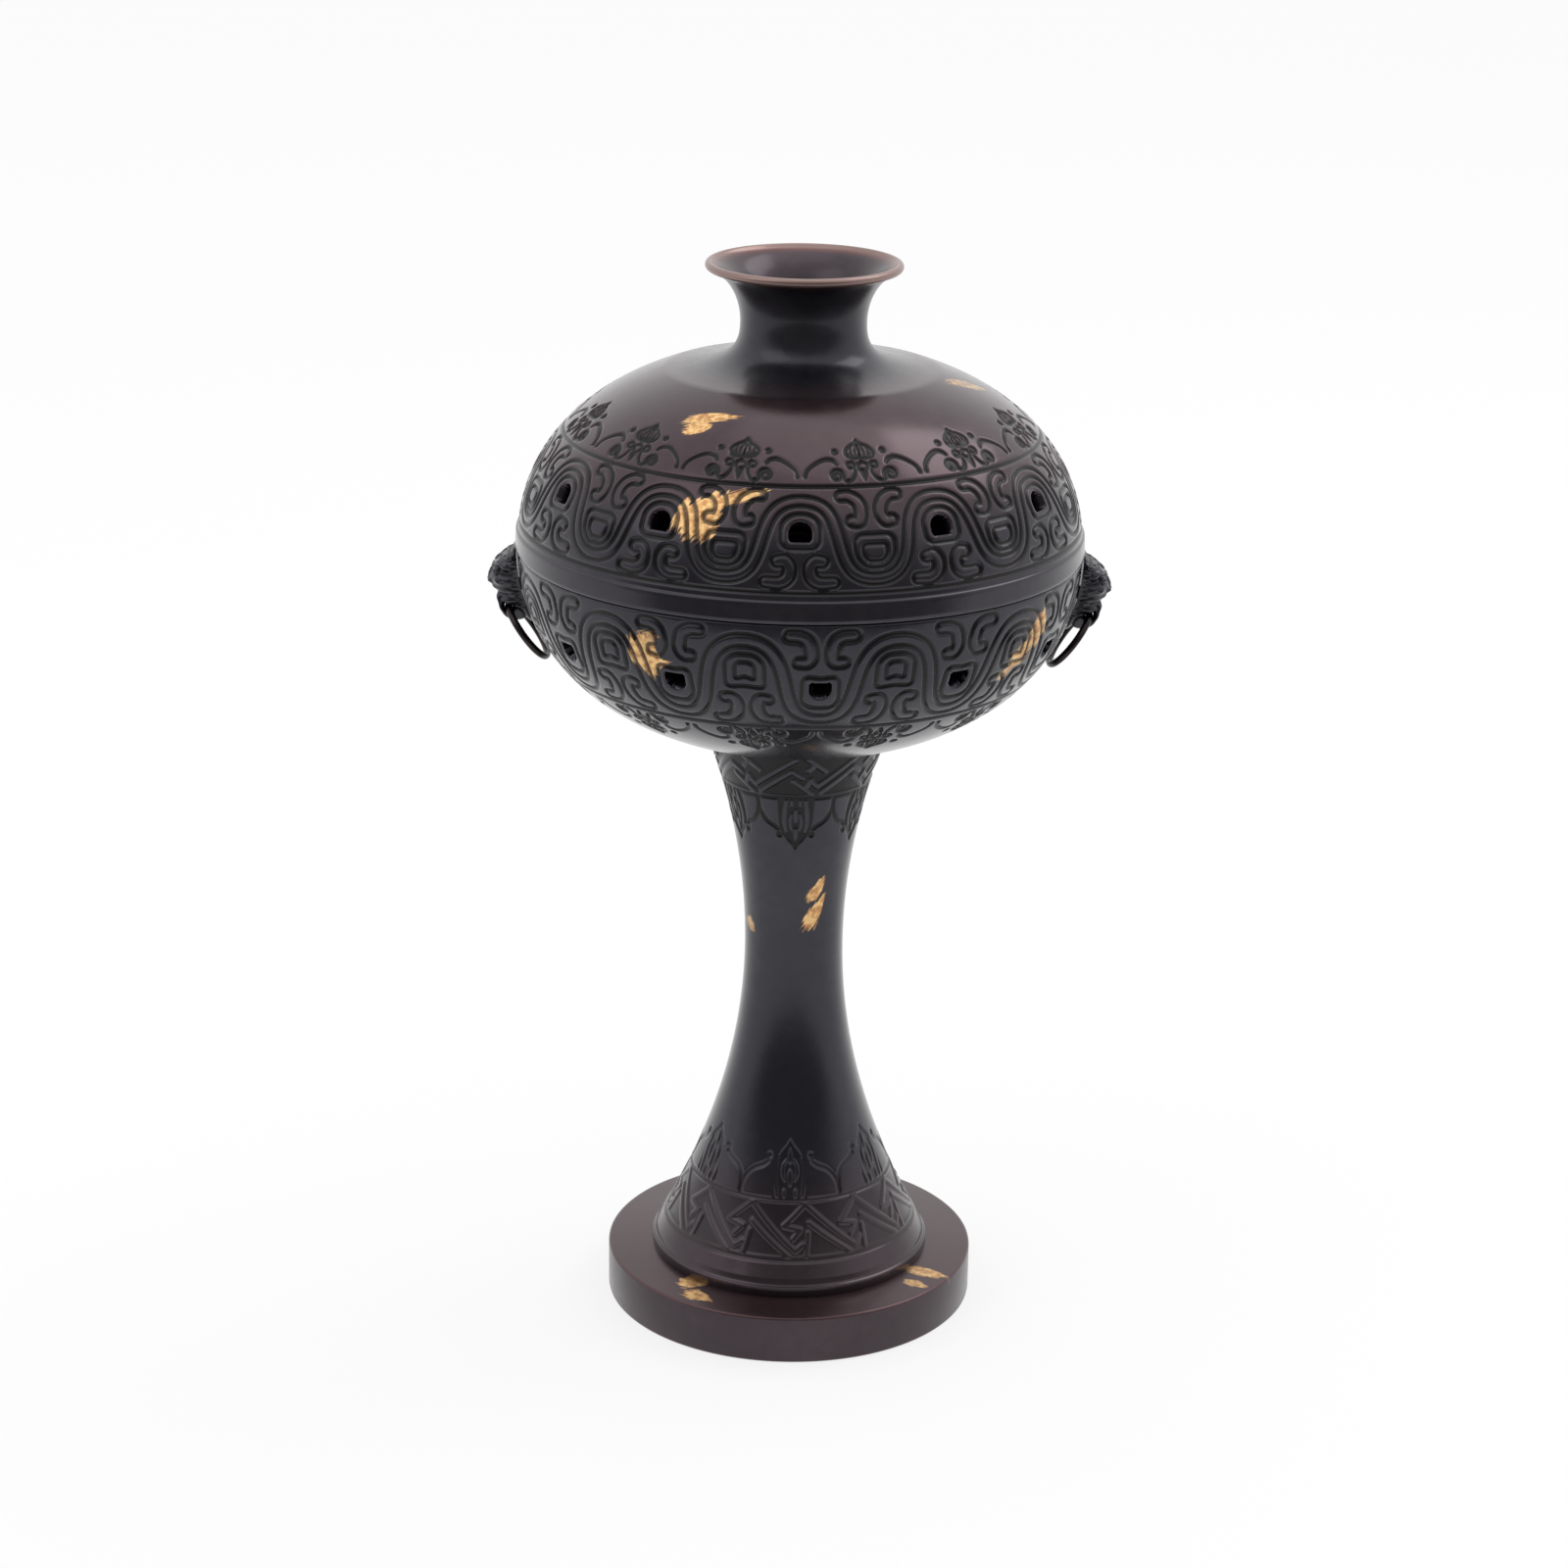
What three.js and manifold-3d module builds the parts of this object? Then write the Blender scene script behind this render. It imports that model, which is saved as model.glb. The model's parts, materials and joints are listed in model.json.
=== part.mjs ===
// A footed bronze incense burner on a tall waisted stem.
// A round pierced bowl and a lifting pierced lid with a flared smoke neck stand on a hollow stem
// and a disc foot. Two beast masks carry loose rings. A threaded rod through the stem clamps
// bowl, stem and foot together, and an ash cup with a stick socket stands inside the bowl.
// Millimetres, +Z up, origin at the centre of the foot's underside.
import * as THREE from 'three';
import Module from 'manifold-3d';
import { mergeVertices } from 'three/addons/utils/BufferGeometryUtils.js';

// Foot
const FOOT_RADIUS = 35;
const FOOT_HEIGHT = 9.2;
const FOOT_EDGE_ROUND = 0.5;
const FOOT_RECESS_RADIUS = 28;
const FOOT_PLATE = 3.6;
const SPIGOT_HEIGHT = 1.6;
const SPIGOT_CLEARANCE = 0.3;

// Stem: a low rim, then two parabolas that meet at the waist
const STEM_HEIGHT = 104;
const STEM_FOOT_RADIUS = 26.5;
const STEM_RIM_HEIGHT = 2;
const STEM_RIM_STEP = 0.8;
const STEM_RIM_EASE = 1.2;
const WAIST_RADIUS = 9.25;
const WAIST_RISE = 61.8;
const STEM_TOP_RADIUS = 17.1;
const STEM_WALL = 2.2;
const STEM_TOP_PLATE = 2.5;

// Body: lid and bowl share one rounded outline, given from the stem's top
const BELLY_RADIUS = 51.4;
const BELLY_RISE = 35.3;
const LID_RISE = 36;
const BOWL_DROP = 37;
const BODY_POWER = 2.2;
const SEAM_BELOW_BELLY = 0.5;
const LID_WALL = 2.6;
const BOWL_WALL = 3;
const BOWL_FLOOR = 3.8;
const BAND_HEIGHT = 4;
const BAND_PROUD = 0.4;
const BAND_EDGE = 0.3;
const LIP_DEPTH = 4;
const LIP_WALL = 1.7;
const LIP_CLEARANCE = 0.35;

// Engraved rings in the body, given from the seam
const GROOVE_DEPTH = 0.5;
const GROOVE_WIDTH = 0.8;
const SHOULDER_GROOVE_RISE = 22;
const BOWL_GROOVE_DROP = 20.5;

// Neck of the lid, given from the crown of the body's outline
const THROAT_RADIUS = 11.35;
const THROAT_RISE = 5;
const SHOULDER_RADIUS = 25;
const SHOULDER_PULL = 10.5;
const SHOULDER_LIFT = 1.3;
const THROAT_PULL = 6;
const FLARE_PULL = 3.9;
const FLARE_EASE = 3.7;
const NECK_WALL = 2;
const RIM_RADIUS = 16.94;
const RIM_RISE = 15.12;
const RIM_BEAD = 0.78;

// Smoke vents, given from the seam
const VENT_COUNT = 12;
const LID_VENT_RISE = 15.4;
const LID_VENT_PHASE = 0;
const BOWL_VENT_DROP = 12.5;
const BOWL_VENT_PHASE = 4.5;
const VENT_WIDTH = 4.4;
const VENT_HEIGHT = 4;
const VENT_SIDE = 1.8;

// Tie rod, nuts and washers
const ROD_RADIUS = 2.9;
const ROD_CLEARANCE = 0.3;
const ROD_STANDOUT = 0.8;
const NUT_ACROSS_CORNERS = 11.5;
const NUT_HEIGHT = 3;
const WASHER_RADIUS = 7;
const WASHER_THICKNESS = 1.2;

// Beast masks, their screws and rings, given outwards from the belly and down from the seam
const RING_RADIUS = 5.83;
const RING_WIRE = 0.65;
const RING_SLANT = 36.3;
const RING_HOLE_CLEARANCE = 0.6;
const PIVOT_OUT = 1.8;
const PIVOT_DROP = 12;
const JAW_HALF_WIDTH = 2;
const FACE_HALF_WIDTH = 3.8;
const MASK_STOCK = 7.4;
const MASK_GAP = 0.3;
const SCREW_RADIUS = 1.2;
const SCREW_CLEARANCE = 0.3;
const SCREW_HEAD_RADIUS = 2.2;
const SCREW_HEAD = 1.6;
const SCREW_BITE = 3;
const BOSS_RADIUS = 3;
const BOSS_GAP = 0.8;
const BOSS_STANDOUT = 1.1;

// Ash cup and stick socket
const CUP_RADIUS = 34;
const CUP_HEIGHT = 24.8;
const CUP_WALL = 1.6;
const CUP_FOOT_RADIUS = 14;
const CUP_FOOT_HEIGHT = 5.4;
const SOCKET_RADIUS = 7;
const SOCKET_FLANGE = 1.4;
const SOCKET_HEIGHT = 6;
const SOCKET_POST_RADIUS = 3.4;
const STICK_HOLE_RADIUS = 1.4;
const STICK_HOLE_DEPTH = 4.5;

// Facets round each turned piece
const BODY_SIDES = 48;
const STEM_SIDES = 32;
const CUP_SIDES = 32;
const SMALL_SIDES = 24;
const HOLE_SIDES = 16;
const HEX_SIDES = 6;

// Heights and holes that follow from the sizes above
const footPlateLow = FOOT_HEIGHT - FOOT_PLATE;
const stemLow = FOOT_HEIGHT;
const stemTop = stemLow + STEM_HEIGHT;
const waistZ = stemLow + WAIST_RISE;
const bellyZ = stemTop + BELLY_RISE;
const seamZ = bellyZ - SEAM_BELOW_BELLY;
const bandTopZ = seamZ + BAND_HEIGHT;
const crownZ = bellyZ + LID_RISE;
const bowlFloor = stemTop + BOWL_FLOOR;
const bowlGrooveZ = seamZ - BOWL_GROOVE_DROP;
const rodHole = ROD_RADIUS + ROD_CLEARANCE;
const nutLow = footPlateLow - WASHER_THICKNESS - NUT_HEIGHT;
const nutHigh = bowlFloor + WASHER_THICKNESS + NUT_HEIGHT;
const screwZ = seamZ - LIP_DEPTH - BOSS_GAP - BOSS_RADIUS;
const cupUnder = bowlFloor + CUP_FOOT_HEIGHT;

const wasm = await Module();
wasm.setup();

const bronze = () => new THREE.MeshStandardMaterial({ color: 0x2a2226, roughness: 0.38, metalness: 0.85 });
const rubbedBronze = () => new THREE.MeshStandardMaterial({ color: 0x3a2b2a, roughness: 0.34, metalness: 0.85 });
const brass = () => new THREE.MeshStandardMaterial({ color: 0x9a7434, roughness: 0.35, metalness: 0.95 });
const steel = () => new THREE.MeshStandardMaterial({ color: 0x8d8f92, roughness: 0.4, metalness: 0.95 });

// A closed mesh as a solid that can be joined and cut
function solid(geometry) {
  const bare = geometry.index ? geometry.toNonIndexed() : geometry.clone();
  const only = new THREE.BufferGeometry().setAttribute('position', bare.getAttribute('position'));
  const merged = mergeVertices(only, 1e-4);
  return new wasm.Manifold(new wasm.Mesh({
    numProp: 3,
    vertProperties: merged.attributes.position.array,
    triVerts: new Uint32Array(merged.index.array),
  }));
}

// A joined or cut solid back as a drawable geometry
function geometryOf(shape) {
  const mesh = shape.getMesh();
  const geometry = new THREE.BufferGeometry();
  geometry.setAttribute('position', new THREE.BufferAttribute(mesh.vertProperties, 3));
  geometry.setIndex(new THREE.BufferAttribute(mesh.triVerts, 1));
  geometry.computeVertexNormals();
  return geometry;
}

function named(name, shape, material) {
  const mesh = new THREE.Mesh(geometryOf(shape), material);
  mesh.name = name;
  return mesh;
}

// A turned solid about Z from [radius, height] points that run anticlockwise, outside going up
function turned(points, sides) {
  const outline = points.map(([r, z]) => new THREE.Vector2(Math.max(r, 0), z));
  outline.push(outline[0].clone());
  return solid(new THREE.LatheGeometry(outline, sides).rotateX(Math.PI / 2));
}

// A straight round bar along Z between two heights
function bar(radius, low, high, sides = SMALL_SIDES) {
  return turned([[0, low], [radius, low], [radius, high], [0, high]], sides);
}

// The body's outer radius, or that of a wall inside it, at a height
function bodyRadius(z, wall = 0) {
  const rise = (z >= bellyZ ? LID_RISE : BOWL_DROP) - wall;
  const share = Math.min(1, Math.abs(z - bellyZ) / rise);
  return (BELLY_RADIUS - wall) * (1 - share ** BODY_POWER) ** (1 / BODY_POWER);
}

// The height on the lid's side where that outline has a given radius
function lidHeight(radius, wall = 0) {
  const share = (1 - (radius / (BELLY_RADIUS - wall)) ** BODY_POWER) ** (1 / BODY_POWER);
  return bellyZ + (LID_RISE - wall) * share;
}

// Points along the body's outline between two heights, closer together where it turns over
function bodyStretch(fromZ, toZ, steps, wall = 0) {
  const rise = (toZ + fromZ > 2 * bellyZ ? LID_RISE : BOWL_DROP) - wall;
  const angle = z => Math.asin(THREE.MathUtils.clamp((z - bellyZ) / rise, -1, 1));
  const points = [];
  for (let i = 0; i <= steps; i++) {
    const z = bellyZ + rise * Math.sin(THREE.MathUtils.lerp(angle(fromZ), angle(toZ), i / steps));
    points.push([bodyRadius(z, wall), z]);
  }
  return points;
}

// An engraved ring as three points of the outline
function groove(z) {
  return [
    [bodyRadius(z - GROOVE_WIDTH / 2), z - GROOVE_WIDTH / 2],
    [bodyRadius(z) - GROOVE_DEPTH, z],
    [bodyRadius(z + GROOVE_WIDTH / 2), z + GROOVE_WIDTH / 2],
  ];
}

// A sweep of one cubic curve through [radius, height] points
function curve(a, b, c, d, steps) {
  const bezier = new THREE.CubicBezierCurve(...[a, b, c, d].map(p => new THREE.Vector2(...p)));
  return bezier.getPoints(steps).map(p => [p.x, p.y]);
}

// Where the stem's sweep leaves its rim
const sweepLow = stemLow + STEM_RIM_HEIGHT + STEM_RIM_EASE;
const sweepRadius = STEM_FOOT_RADIUS - STEM_RIM_STEP;

function stemRadius(z) {
  const [farRadius, farZ] = z < waistZ ? [sweepRadius, sweepLow] : [STEM_TOP_RADIUS, stemTop];
  return WAIST_RADIUS + (farRadius - WAIST_RADIUS) * ((z - waistZ) / (farZ - waistZ)) ** 2;
}

// A vent as a prism that runs outwards along +X: flat below, arched above
function ventCutter() {
  const shape = new THREE.Shape();
  const w = VENT_WIDTH / 2;
  const h = VENT_HEIGHT / 2;
  const spring = VENT_SIDE - h;
  shape.moveTo(-w, -h);
  shape.lineTo(w, -h);
  shape.lineTo(w, spring);
  shape.absellipse(0, spring, w, h - spring, 0, Math.PI, false);
  const prism = new THREE.ExtrudeGeometry(shape, { depth: BELLY_RADIUS, bevelEnabled: false, curveSegments: 4 });
  return solid(prism.rotateZ(Math.PI / 2).rotateY(Math.PI / 2));
}

// Slope of the wall's outward normal above the horizon, in degrees
function wallTilt(z) {
  const step = 0.5;
  return -THREE.MathUtils.radToDeg(Math.atan((bodyRadius(z + step) - bodyRadius(z - step)) / (2 * step)));
}

// Cuts a ring of vents through a shell, each square to the wall
function pierced(shell, z, phase, turnOver) {
  const tilt = wallTilt(z);
  const startX = bodyRadius(z) * 0.75;
  const startZ = z - Math.tan(THREE.MathUtils.degToRad(tilt)) * (bodyRadius(z) - startX);
  const cutter = ventCutter().rotate([turnOver ? 180 : 0, 0, 0]).rotate([0, -tilt, 0]).translate([startX, 0, startZ]);
  for (let i = 0; i < VENT_COUNT; i++) {
    shell = shell.subtract(cutter.rotate([0, 0, -90 + phase + i * 360 / VENT_COUNT]));
  }
  return shell;
}

function footDisc() {
  const spigot = STEM_FOOT_RADIUS - STEM_WALL - SPIGOT_CLEARANCE;
  return turned([
    [rodHole, footPlateLow],
    [FOOT_RECESS_RADIUS, footPlateLow],
    [FOOT_RECESS_RADIUS, 0],
    [FOOT_RADIUS - FOOT_EDGE_ROUND, 0],
    [FOOT_RADIUS, FOOT_EDGE_ROUND],
    [FOOT_RADIUS, FOOT_HEIGHT - FOOT_EDGE_ROUND],
    [FOOT_RADIUS - FOOT_EDGE_ROUND, FOOT_HEIGHT],
    [spigot, FOOT_HEIGHT],
    [spigot, FOOT_HEIGHT + SPIGOT_HEIGHT],
    [rodHole, FOOT_HEIGHT + SPIGOT_HEIGHT],
  ], BODY_SIDES);
}

function stemShell() {
  const rimTop = stemLow + STEM_RIM_HEIGHT;
  const steps = 12;
  const heights = [];
  for (let i = 0; i <= steps; i++) heights.push(THREE.MathUtils.lerp(sweepLow, stemTop, i / steps));
  const innerTop = stemTop - STEM_TOP_PLATE;
  const inner = heights.filter(z => z < innerTop - 1).map(z => [stemRadius(z) - STEM_WALL, z]).reverse();
  return turned([
    [STEM_FOOT_RADIUS - STEM_WALL, stemLow],
    [STEM_FOOT_RADIUS, stemLow],
    [STEM_FOOT_RADIUS, rimTop],
    ...heights.map(z => [stemRadius(z), z]),
    [rodHole, stemTop],
    [rodHole, innerTop],
    [stemRadius(innerTop) - STEM_WALL, innerTop],
    ...inner,
    [STEM_FOOT_RADIUS - STEM_WALL, rimTop],
  ], STEM_SIDES);
}

function bowlShell() {
  const outer = [
    ...bodyStretch(stemTop, bowlGrooveZ - GROOVE_WIDTH / 2, 6).slice(0, -1),
    ...groove(bowlGrooveZ),
    ...bodyStretch(bowlGrooveZ + GROOVE_WIDTH / 2, seamZ, 6).slice(1),
  ];
  const inner = bodyStretch(seamZ, bowlFloor, 8, BOWL_WALL);
  let shell = turned([[rodHole, stemTop], ...outer, ...inner, [rodHole, bowlFloor]], BODY_SIDES);
  const wallX = bodyRadius(screwZ);
  const faceX = wallX - BOWL_WALL - BOSS_STANDOUT;
  const boss = bar(BOSS_RADIUS, faceX, wallX - 1).rotate([0, 90, 0]).translate([0, 0, screwZ]);
  const hole = bar(SCREW_RADIUS + SCREW_CLEARANCE, faceX - 2, wallX + 2).rotate([0, 90, 0]).translate([0, 0, screwZ]);
  for (const turn of [0, 180]) shell = shell.add(boss.rotate([0, 0, turn])).subtract(hole.rotate([0, 0, turn]));
  return pierced(shell, seamZ - BOWL_VENT_DROP, BOWL_VENT_PHASE, true);
}

// The neck's outside from the shoulder up to the rim's bead, then its inside back down to the dome
function neckOutline() {
  const shoulderZ = lidHeight(SHOULDER_RADIUS);
  const throatZ = crownZ + THROAT_RISE;
  const rimZ = crownZ + RIM_RISE;
  const throat = [THROAT_RADIUS, throatZ];
  const shoulder = [SHOULDER_RADIUS, shoulderZ];
  const pulledIn = [SHOULDER_RADIUS - SHOULDER_PULL, shoulderZ + SHOULDER_LIFT];
  const rise = curve(shoulder, pulledIn, [THROAT_RADIUS, throatZ - THROAT_PULL], throat, 6);
  const beadFoot = [RIM_RADIUS, rimZ - RIM_BEAD];
  const eased = [RIM_RADIUS - FLARE_EASE, beadFoot[1] - RIM_BEAD * 1.6];
  const flare = curve(throat, [THROAT_RADIUS, throatZ + FLARE_PULL], eased, beadFoot, 6).slice(1);
  const bead = [];
  for (let i = 1; i <= 4; i++) {
    const angle = -Math.PI / 2 + i * Math.PI / 4;
    bead.push([RIM_RADIUS + RIM_BEAD * Math.cos(angle), rimZ + RIM_BEAD * Math.sin(angle)]);
  }
  const inside = THROAT_RADIUS - NECK_WALL;
  const innerFlare = curve(
    [RIM_RADIUS - RIM_BEAD, rimZ + RIM_BEAD * 0.4],
    [RIM_RADIUS - FLARE_EASE - 0.6, rimZ - RIM_BEAD * 1.3],
    [inside, throatZ + FLARE_PULL + 1],
    [inside, throatZ],
    4,
  );
  const dome = SHOULDER_RADIUS - 1;
  const domeZ = lidHeight(dome, LID_WALL);
  const innerRise = curve([inside, throatZ], [inside, throatZ - 7], [inside + 3.1, domeZ + SHOULDER_LIFT], [dome, domeZ], 4);
  return { outside: [...rise, ...flare, ...bead], inside: [...innerFlare, ...innerRise.slice(1)], domeZ };
}

function lidShell() {
  const lipOuter = BELLY_RADIUS - BOWL_WALL - LIP_CLEARANCE;
  const lipInner = lipOuter - LIP_WALL;
  const grooveZ = seamZ + SHOULDER_GROOVE_RISE;
  const edgeZ = bandTopZ + BAND_EDGE;
  const neck = neckOutline();
  const shell = turned([
    [lipInner, seamZ - LIP_DEPTH],
    [lipOuter, seamZ - LIP_DEPTH],
    [lipOuter, seamZ],
    [bodyRadius(seamZ) + BAND_PROUD, seamZ],
    [bodyRadius(bandTopZ) + BAND_PROUD, bandTopZ],
    [bodyRadius(edgeZ), edgeZ],
    ...bodyStretch(edgeZ, grooveZ - GROOVE_WIDTH / 2, 6).slice(1, -1),
    ...groove(grooveZ),
    ...bodyStretch(grooveZ + GROOVE_WIDTH / 2, lidHeight(SHOULDER_RADIUS), 6).slice(1, -1),
    ...neck.outside,
    ...neck.inside,
    ...bodyStretch(neck.domeZ, bandTopZ, 5, LID_WALL).slice(1),
    [lipInner, bandTopZ - 1],
  ], BODY_SIDES);
  return pierced(shell, seamZ + LID_VENT_RISE, LID_VENT_PHASE, false);
}

// A flat outline of [out from the belly, up from the seam] points, extruded to a half width each side
function slab(outline, halfWidth) {
  const shape = new THREE.Shape(outline.map(([out, up]) => new THREE.Vector2(BELLY_RADIUS + out, seamZ + up)));
  const plate = new THREE.ExtrudeGeometry(shape, { depth: 2 * halfWidth, bevelEnabled: false });
  return solid(plate.rotateX(Math.PI / 2).translate(0, halfWidth, 0));
}

// A lump of the face at a place out from the belly, across and up from the seam
function lump(radius, out, across, up, stretch = [1, 1, 1]) {
  const sphere = new THREE.SphereGeometry(radius, 10, 6).scale(...stretch);
  return solid(sphere.translate(BELLY_RADIUS + out, across, seamZ + up));
}

// The beast mask on the +X side: brow, eyes, ears and snout above, a narrow jaw round the ring below
function beastMask() {
  const back = -MASK_STOCK;
  const brow = [[back, -8.4], [3.3, -8.4], [4, -7.4], [4.2, -5.4], [3.2, -3.2], [0.6, -1.6], [back, -0.7]];
  const chin = [[back, -14.6], [1.2, -14.6], [2.8, -13.8], [4, -12], [4, -10], [3.2, -8.3], [back, -8.3]];
  let mask = slab(brow, FACE_HALF_WIDTH).add(slab(chin, JAW_HALF_WIDTH)).add(lump(1.7, 3.5, 0, -6.7, [1, 1.3, 0.9]));
  for (const side of [-1, 1]) {
    mask = mask
      .add(lump(1.5, 3.1, side * 2.3, -4.4, [1, 1, 0.85]))
      .add(lump(1.7, 1, side * (FACE_HALF_WIDTH - 0.3), -2.8, [1, 0.9, 1.1]))
      .add(lump(2, 0.8, side * (FACE_HALF_WIDTH - 0.8), -6.4, [1.1, 0.9, 1]));
  }
  const wall = turned([
    ...bodyStretch(bowlGrooveZ, seamZ, 12).map(([r, z]) => [r + MASK_GAP, z]),
    [0, seamZ],
    [0, bowlGrooveZ],
  ], BODY_SIDES);
  const pivot = [BELLY_RADIUS + PIVOT_OUT, 0, seamZ - PIVOT_DROP];
  const ringHole = bar(RING_WIRE + RING_HOLE_CLEARANCE, -2 * FACE_HALF_WIDTH, 2 * FACE_HALF_WIDTH, HOLE_SIDES)
    .rotate([90, 0, 0]).translate(pivot);
  const wallX = bodyRadius(screwZ);
  const screwHole = bar(SCREW_RADIUS + SCREW_CLEARANCE, wallX - BOWL_WALL, wallX + SCREW_BITE + SCREW_CLEARANCE, HOLE_SIDES)
    .rotate([0, 90, 0]).translate([0, 0, screwZ]);
  const lidSide = solid(new THREE.BoxGeometry(30, 30, 10).translate(BELLY_RADIUS, 0, seamZ + 5 - MASK_GAP));
  return mask.subtract(wall).subtract(ringHole).subtract(screwHole).subtract(lidSide);
}

function maskScrew() {
  const faceX = bodyRadius(screwZ) - BOWL_WALL - BOSS_STANDOUT;
  const tip = bodyRadius(screwZ) + SCREW_BITE;
  return turned([
    [0, faceX - SCREW_HEAD],
    [SCREW_HEAD_RADIUS, faceX - SCREW_HEAD],
    [SCREW_HEAD_RADIUS, faceX],
    [SCREW_RADIUS, faceX],
    [SCREW_RADIUS, tip],
    [0, tip],
  ], HOLE_SIDES).rotate([0, 90, 0]).translate([0, 0, screwZ]);
}

// The ring on the +X side, its plane leaning in along the bowl's wall
function looseRing() {
  const hoop = solid(new THREE.TorusGeometry(RING_RADIUS, RING_WIRE, 8, 24));
  return hoop.rotate([0, 90, 0]).translate([0, 0, -RING_RADIUS]).rotate([0, RING_SLANT, 0])
    .translate([BELLY_RADIUS + PIVOT_OUT, 0, seamZ - PIVOT_DROP]);
}

function ashCup() {
  const rim = bowlFloor + CUP_HEIGHT;
  const belly = CUP_RADIUS - CUP_HEIGHT / 3;
  const inside = CUP_RADIUS - CUP_WALL;
  const outer = curve([CUP_FOOT_RADIUS, cupUnder - 0.4], [belly, cupUnder], [CUP_RADIUS - 0.6, cupUnder + 6], [CUP_RADIUS, rim], 6);
  const well = cupUnder + CUP_WALL;
  const inner = curve([inside, rim], [inside - 0.6, well + 6.4], [belly - 1, well], [CUP_FOOT_RADIUS, well], 6);
  return turned([
    [CUP_FOOT_RADIUS - CUP_WALL, bowlFloor],
    [CUP_FOOT_RADIUS, bowlFloor],
    ...outer,
    ...inner,
    [0, well],
    [0, cupUnder],
    [CUP_FOOT_RADIUS - CUP_WALL, cupUnder],
  ], CUP_SIDES);
}

function stickSocket() {
  const low = cupUnder + CUP_WALL;
  const high = low + SOCKET_HEIGHT;
  const bottom = high - STICK_HOLE_DEPTH;
  return turned([
    [0, low],
    [SOCKET_RADIUS, low],
    [SOCKET_RADIUS, low + SOCKET_FLANGE],
    [SOCKET_POST_RADIUS + 0.4, low + 2 * SOCKET_FLANGE],
    [SOCKET_POST_RADIUS, high],
    [STICK_HOLE_RADIUS, high],
    [STICK_HOLE_RADIUS, bottom],
    [0, bottom],
  ], SMALL_SIDES);
}

function washer(low) {
  return turned([
    [rodHole, low],
    [WASHER_RADIUS, low],
    [WASHER_RADIUS, low + WASHER_THICKNESS],
    [rodHole, low + WASHER_THICKNESS],
  ], SMALL_SIDES);
}

function nut(low) {
  return bar(NUT_ACROSS_CORNERS / 2, low, low + NUT_HEIGHT, HEX_SIDES)
    .subtract(bar(rodHole, low - 1, low + NUT_HEIGHT + 1));
}

const group = new THREE.Group();
group.add(named('foot_disc', footDisc(), rubbedBronze()));
group.add(named('stem', stemShell(), bronze()));
group.add(named('bowl', bowlShell(), bronze()));
group.add(named('lid', lidShell(), rubbedBronze()));
group.add(named('tie_rod', bar(ROD_RADIUS, nutLow - ROD_STANDOUT, nutHigh + ROD_STANDOUT), steel()));
group.add(named('foot_washer', washer(footPlateLow - WASHER_THICKNESS), steel()));
group.add(named('foot_nut', nut(nutLow), steel()));
group.add(named('bowl_washer', washer(bowlFloor), steel()));
group.add(named('bowl_nut', nut(bowlFloor + WASHER_THICKNESS), steel()));
group.add(named('ash_cup', ashCup(), brass()));
group.add(named('stick_socket', stickSocket(), brass()));

const mask = beastMask();
const screw = maskScrew();
const ring = looseRing();
for (const [side, turn] of [['left', 180], ['right', 0]]) {
  group.add(named(`${side}_beast_mask`, mask.rotate([0, 0, turn]), bronze()));
  group.add(named(`${side}_mask_screw`, screw.rotate([0, 0, turn]), steel()));
  group.add(named(`${side}_ring`, ring.rotate([0, 0, turn]), bronze()));
}

export default group;
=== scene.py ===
# %% [markdown]
# # A bronze incense burner on a tall stem
# The real object is cast bronze: a round pierced bowl and lid on a waisted stem and a disc foot,
# with a beast mask and a loose ring on each side. The solid model is loaded first, as a frame that
# never moves. Everything after it gives each piece its fine surface, its cast ornament and its
# finish. Sizes are in millimetres, as on a maker's drawing, and each mesh is written in metres.

# %% Load the frame
import json
import math

import bmesh
import bpy
import numpy as np
from mathutils import Matrix, Vector


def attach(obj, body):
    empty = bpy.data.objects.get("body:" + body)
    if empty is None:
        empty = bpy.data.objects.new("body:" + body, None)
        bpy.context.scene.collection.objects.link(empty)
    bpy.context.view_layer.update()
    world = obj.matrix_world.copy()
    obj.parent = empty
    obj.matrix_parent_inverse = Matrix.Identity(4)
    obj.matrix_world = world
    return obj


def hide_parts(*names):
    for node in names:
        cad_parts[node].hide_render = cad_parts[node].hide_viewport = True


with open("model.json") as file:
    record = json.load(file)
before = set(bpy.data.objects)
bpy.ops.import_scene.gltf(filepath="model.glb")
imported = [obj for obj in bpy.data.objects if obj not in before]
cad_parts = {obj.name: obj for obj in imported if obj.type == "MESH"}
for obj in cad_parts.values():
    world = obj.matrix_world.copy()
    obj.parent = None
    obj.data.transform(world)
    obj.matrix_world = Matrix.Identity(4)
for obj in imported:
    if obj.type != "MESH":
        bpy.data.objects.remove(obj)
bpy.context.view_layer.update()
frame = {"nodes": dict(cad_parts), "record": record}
nodes = frame["nodes"]
MM = 0.001

# %% [markdown]
# ## Camera, floor and light
# The photo looks slightly down at the object from far away with a long lens, in front of a white
# sweep. The floor and the backdrop show white to the camera. The world is pale above and behind and
# dim in front, as in a room with a white sweep and a dark camera side, which is what makes dark
# bronze read as bronze: its face mirrors the dim side and its edges mirror the white one.

# %% Camera
CAMERA_DISTANCE = 0.678
CAMERA_ELEVATION = math.radians(18.9)
CAMERA_AIM_HEIGHT = 0.1021
CAMERA_LENS = 83.5
CAMERA_SHIFT = -0.0078
CAMERA_ROLL = math.radians(0.92)

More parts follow.
